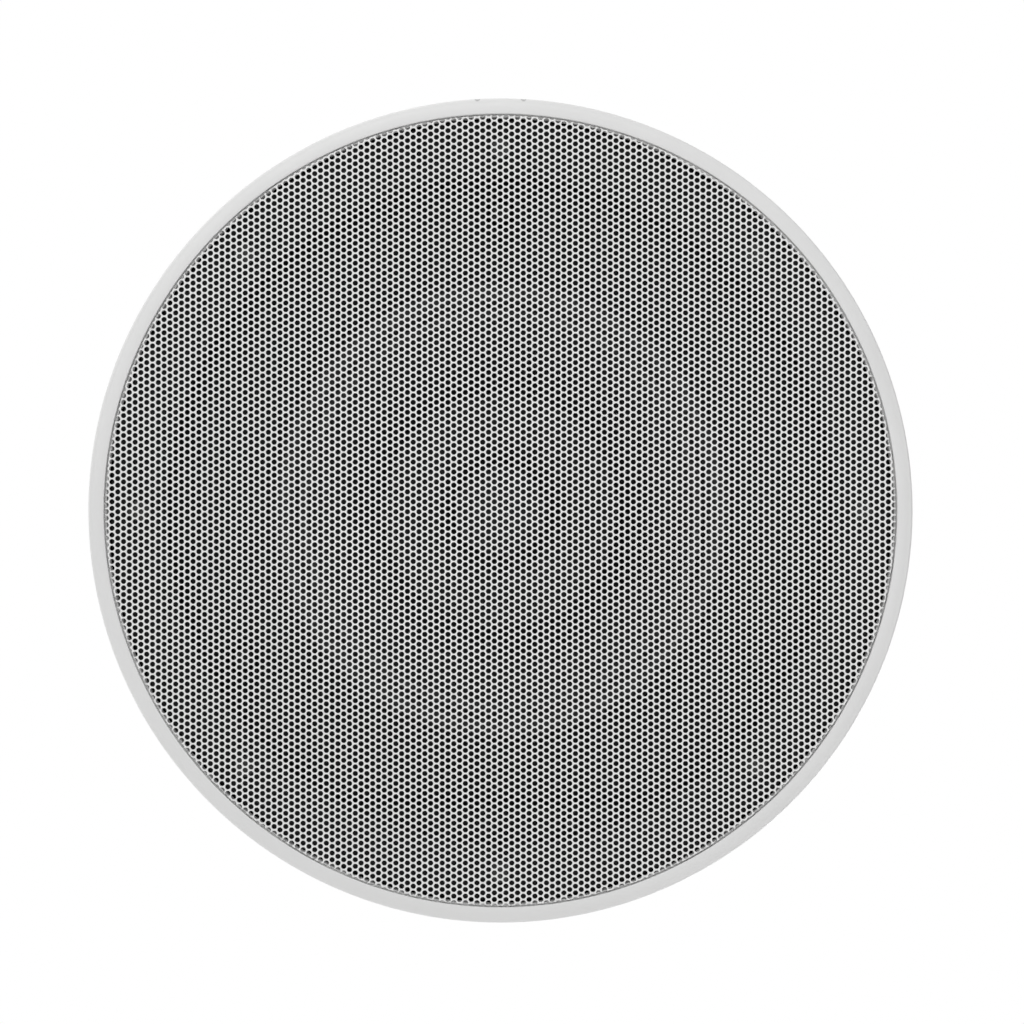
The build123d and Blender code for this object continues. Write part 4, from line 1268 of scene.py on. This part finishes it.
def world_span(value, low, high, to_low, to_high):
    made = tree.nodes.new("ShaderNodeMapRange")
    keys = ("From Min", "From Max", "To Min", "To Max")
    for key, number in zip(keys, (low, high, to_low, to_high)):
        made.inputs[key].default_value = number
    tree.links.new(value, made.inputs["Value"])
    return made.outputs["Result"]


heading = tree.nodes.new("ShaderNodeTexCoord")
parts = tree.nodes.new("ShaderNodeSeparateXYZ")
tree.links.new(heading.outputs["Generated"], parts.inputs[0])
tent = tree.nodes.new("ShaderNodeMath")
tent.operation = "MULTIPLY"
ring = tree.nodes.new("ShaderNodeMath")
ring.operation = "MULTIPLY"
tree.links.new(world_span(parts.outputs["Z"], *HORIZON_EDGE, 0.0, HORIZON_LIGHT), ring.inputs[0])
tree.links.new(world_span(parts.outputs["Z"], *OVERHEAD_EDGE, 1.0, OVERHEAD_SHARE), ring.inputs[1])
tree.links.new(ring.outputs[0], tent.inputs[0])
flag = tree.nodes.new("ShaderNodeVectorMath")
flag.operation = "DOT_PRODUCT"
flag.inputs[1].default_value = FLAG_WAY
tree.links.new(heading.outputs["Generated"], flag.inputs[0])
tree.links.new(world_span(flag.outputs["Value"], *FLAG_EDGE, 1.0, 0.0), tent.inputs[1])
low = tree.nodes.new("ShaderNodeMath")
low.operation = "MULTIPLY"
tree.links.new(tent.outputs[0], low.inputs[0])
tree.links.new(world_span(parts.outputs["Y"], *NEAR_SIDE_EDGE, 1.0, NEAR_SIDE_SHARE), low.inputs[1])
tree.links.new(low.outputs[0], glow.inputs["Strength"])
pick = tree.nodes.new("ShaderNodeMixShader")
either = tree.nodes.new("ShaderNodeMath")
either.operation = "MAXIMUM"
tree.links.new(path.outputs["Is Camera Ray"], either.inputs[0])
tree.links.new(path.outputs["Is Transmission Ray"], either.inputs[1])
shiny = tree.nodes.new("ShaderNodeMath")
shiny.operation = "MAXIMUM"
tree.links.new(either.outputs[0], shiny.inputs[0])
tree.links.new(path.outputs["Is Glossy Ray"], shiny.inputs[1])
tree.links.new(shiny.outputs[0], pick.inputs["Fac"])
tree.links.new(glow.outputs[0], pick.inputs[1])
tree.links.new(seen.outputs[0], pick.inputs[2])
tree.links.new(pick.outputs[0], out.inputs[0])


def lamp(name, place, power, size):
    """A round soft lamp that points at the origin."""
    data = bpy.data.lights.new(name, "AREA")
    data.shape = "DISK"
    data.size = size
    data.energy = power
    made = bpy.data.objects.new(name, data)
    made.location = place
    made.rotation_euler = (-Vector(place)).to_track_quat("-Z", "Y").to_euler()
    bpy.context.scene.collection.objects.link(made)


lamp("key", (-0.35, -0.7, -0.65), 2.9, 0.6)
lamp("fill", (0.65, 0.25, -0.55), 1.3, 0.4)
lamp("back", (0.7, 0.6, 1.3), 10.0, 1.0)

FLOOR_SIZE = 14.0
FLOOR_Z = -1.6
FADE_FROM = 3.8
FADE_TO = 6.8
bpy.ops.mesh.primitive_plane_add(size=FLOOR_SIZE, location=(0.0, 0.0, FLOOR_Z))
floor = bpy.context.object
floor.name = "floor"
pale = Shader("floor_pale", 0.0)
pale.colour(
    pale.ramp(pale.noise(1.5, 2.0), (0.3, (0.86, 0.86, 0.86)), (0.7, (0.88, 0.88, 0.88)))
)
pale.set(Roughness=0.8)
# Seen directly or in a reflection, the floor fades to white towards its edge
light_path = pale.node("ShaderNodeLightPath").outputs
sight = light_path["Is Camera Ray"]
for kind in ("Is Glossy Ray", "Is Transmission Ray"):
    sight = pale.math("MAXIMUM", sight, light_path[kind])
reach = pale.node("ShaderNodeVectorMath", operation="LENGTH")
pale.link(pale.where, reach.inputs[0])
fade = pale.node("ShaderNodeMixShader")
pale.link(
    pale.math("MULTIPLY", sight, pale.span(reach.outputs["Value"], FADE_FROM, FADE_TO, 0.0, 1.0)),
    fade.inputs["Fac"],
)
pale.link(pale.bsdf.outputs[0], fade.inputs[1])
pale.link(pale.node("ShaderNodeEmission").outputs[0], fade.inputs[2])
pale.link(fade.outputs[0], pale.out.inputs[0])
floor.data.materials.append(pale.material)

lens = bpy.data.cameras.new("camera")
lens.sensor_width = 36.0
lens.lens = lens.sensor_width * CAMERA_DISTANCE / (IMAGE * PIXEL * MM)
lens.clip_start = 0.01
camera = bpy.data.objects.new("camera", lens)
camera.location = (CENTRE_X * MM, CENTRE_Y * MM, SCALE_Z - CAMERA_DISTANCE)
camera.rotation_euler = (math.pi, 0.0, 0.0)
bpy.context.scene.collection.objects.link(camera)
bpy.context.scene.camera = camera
bpy.context.scene.view_settings.view_transform = "Standard"
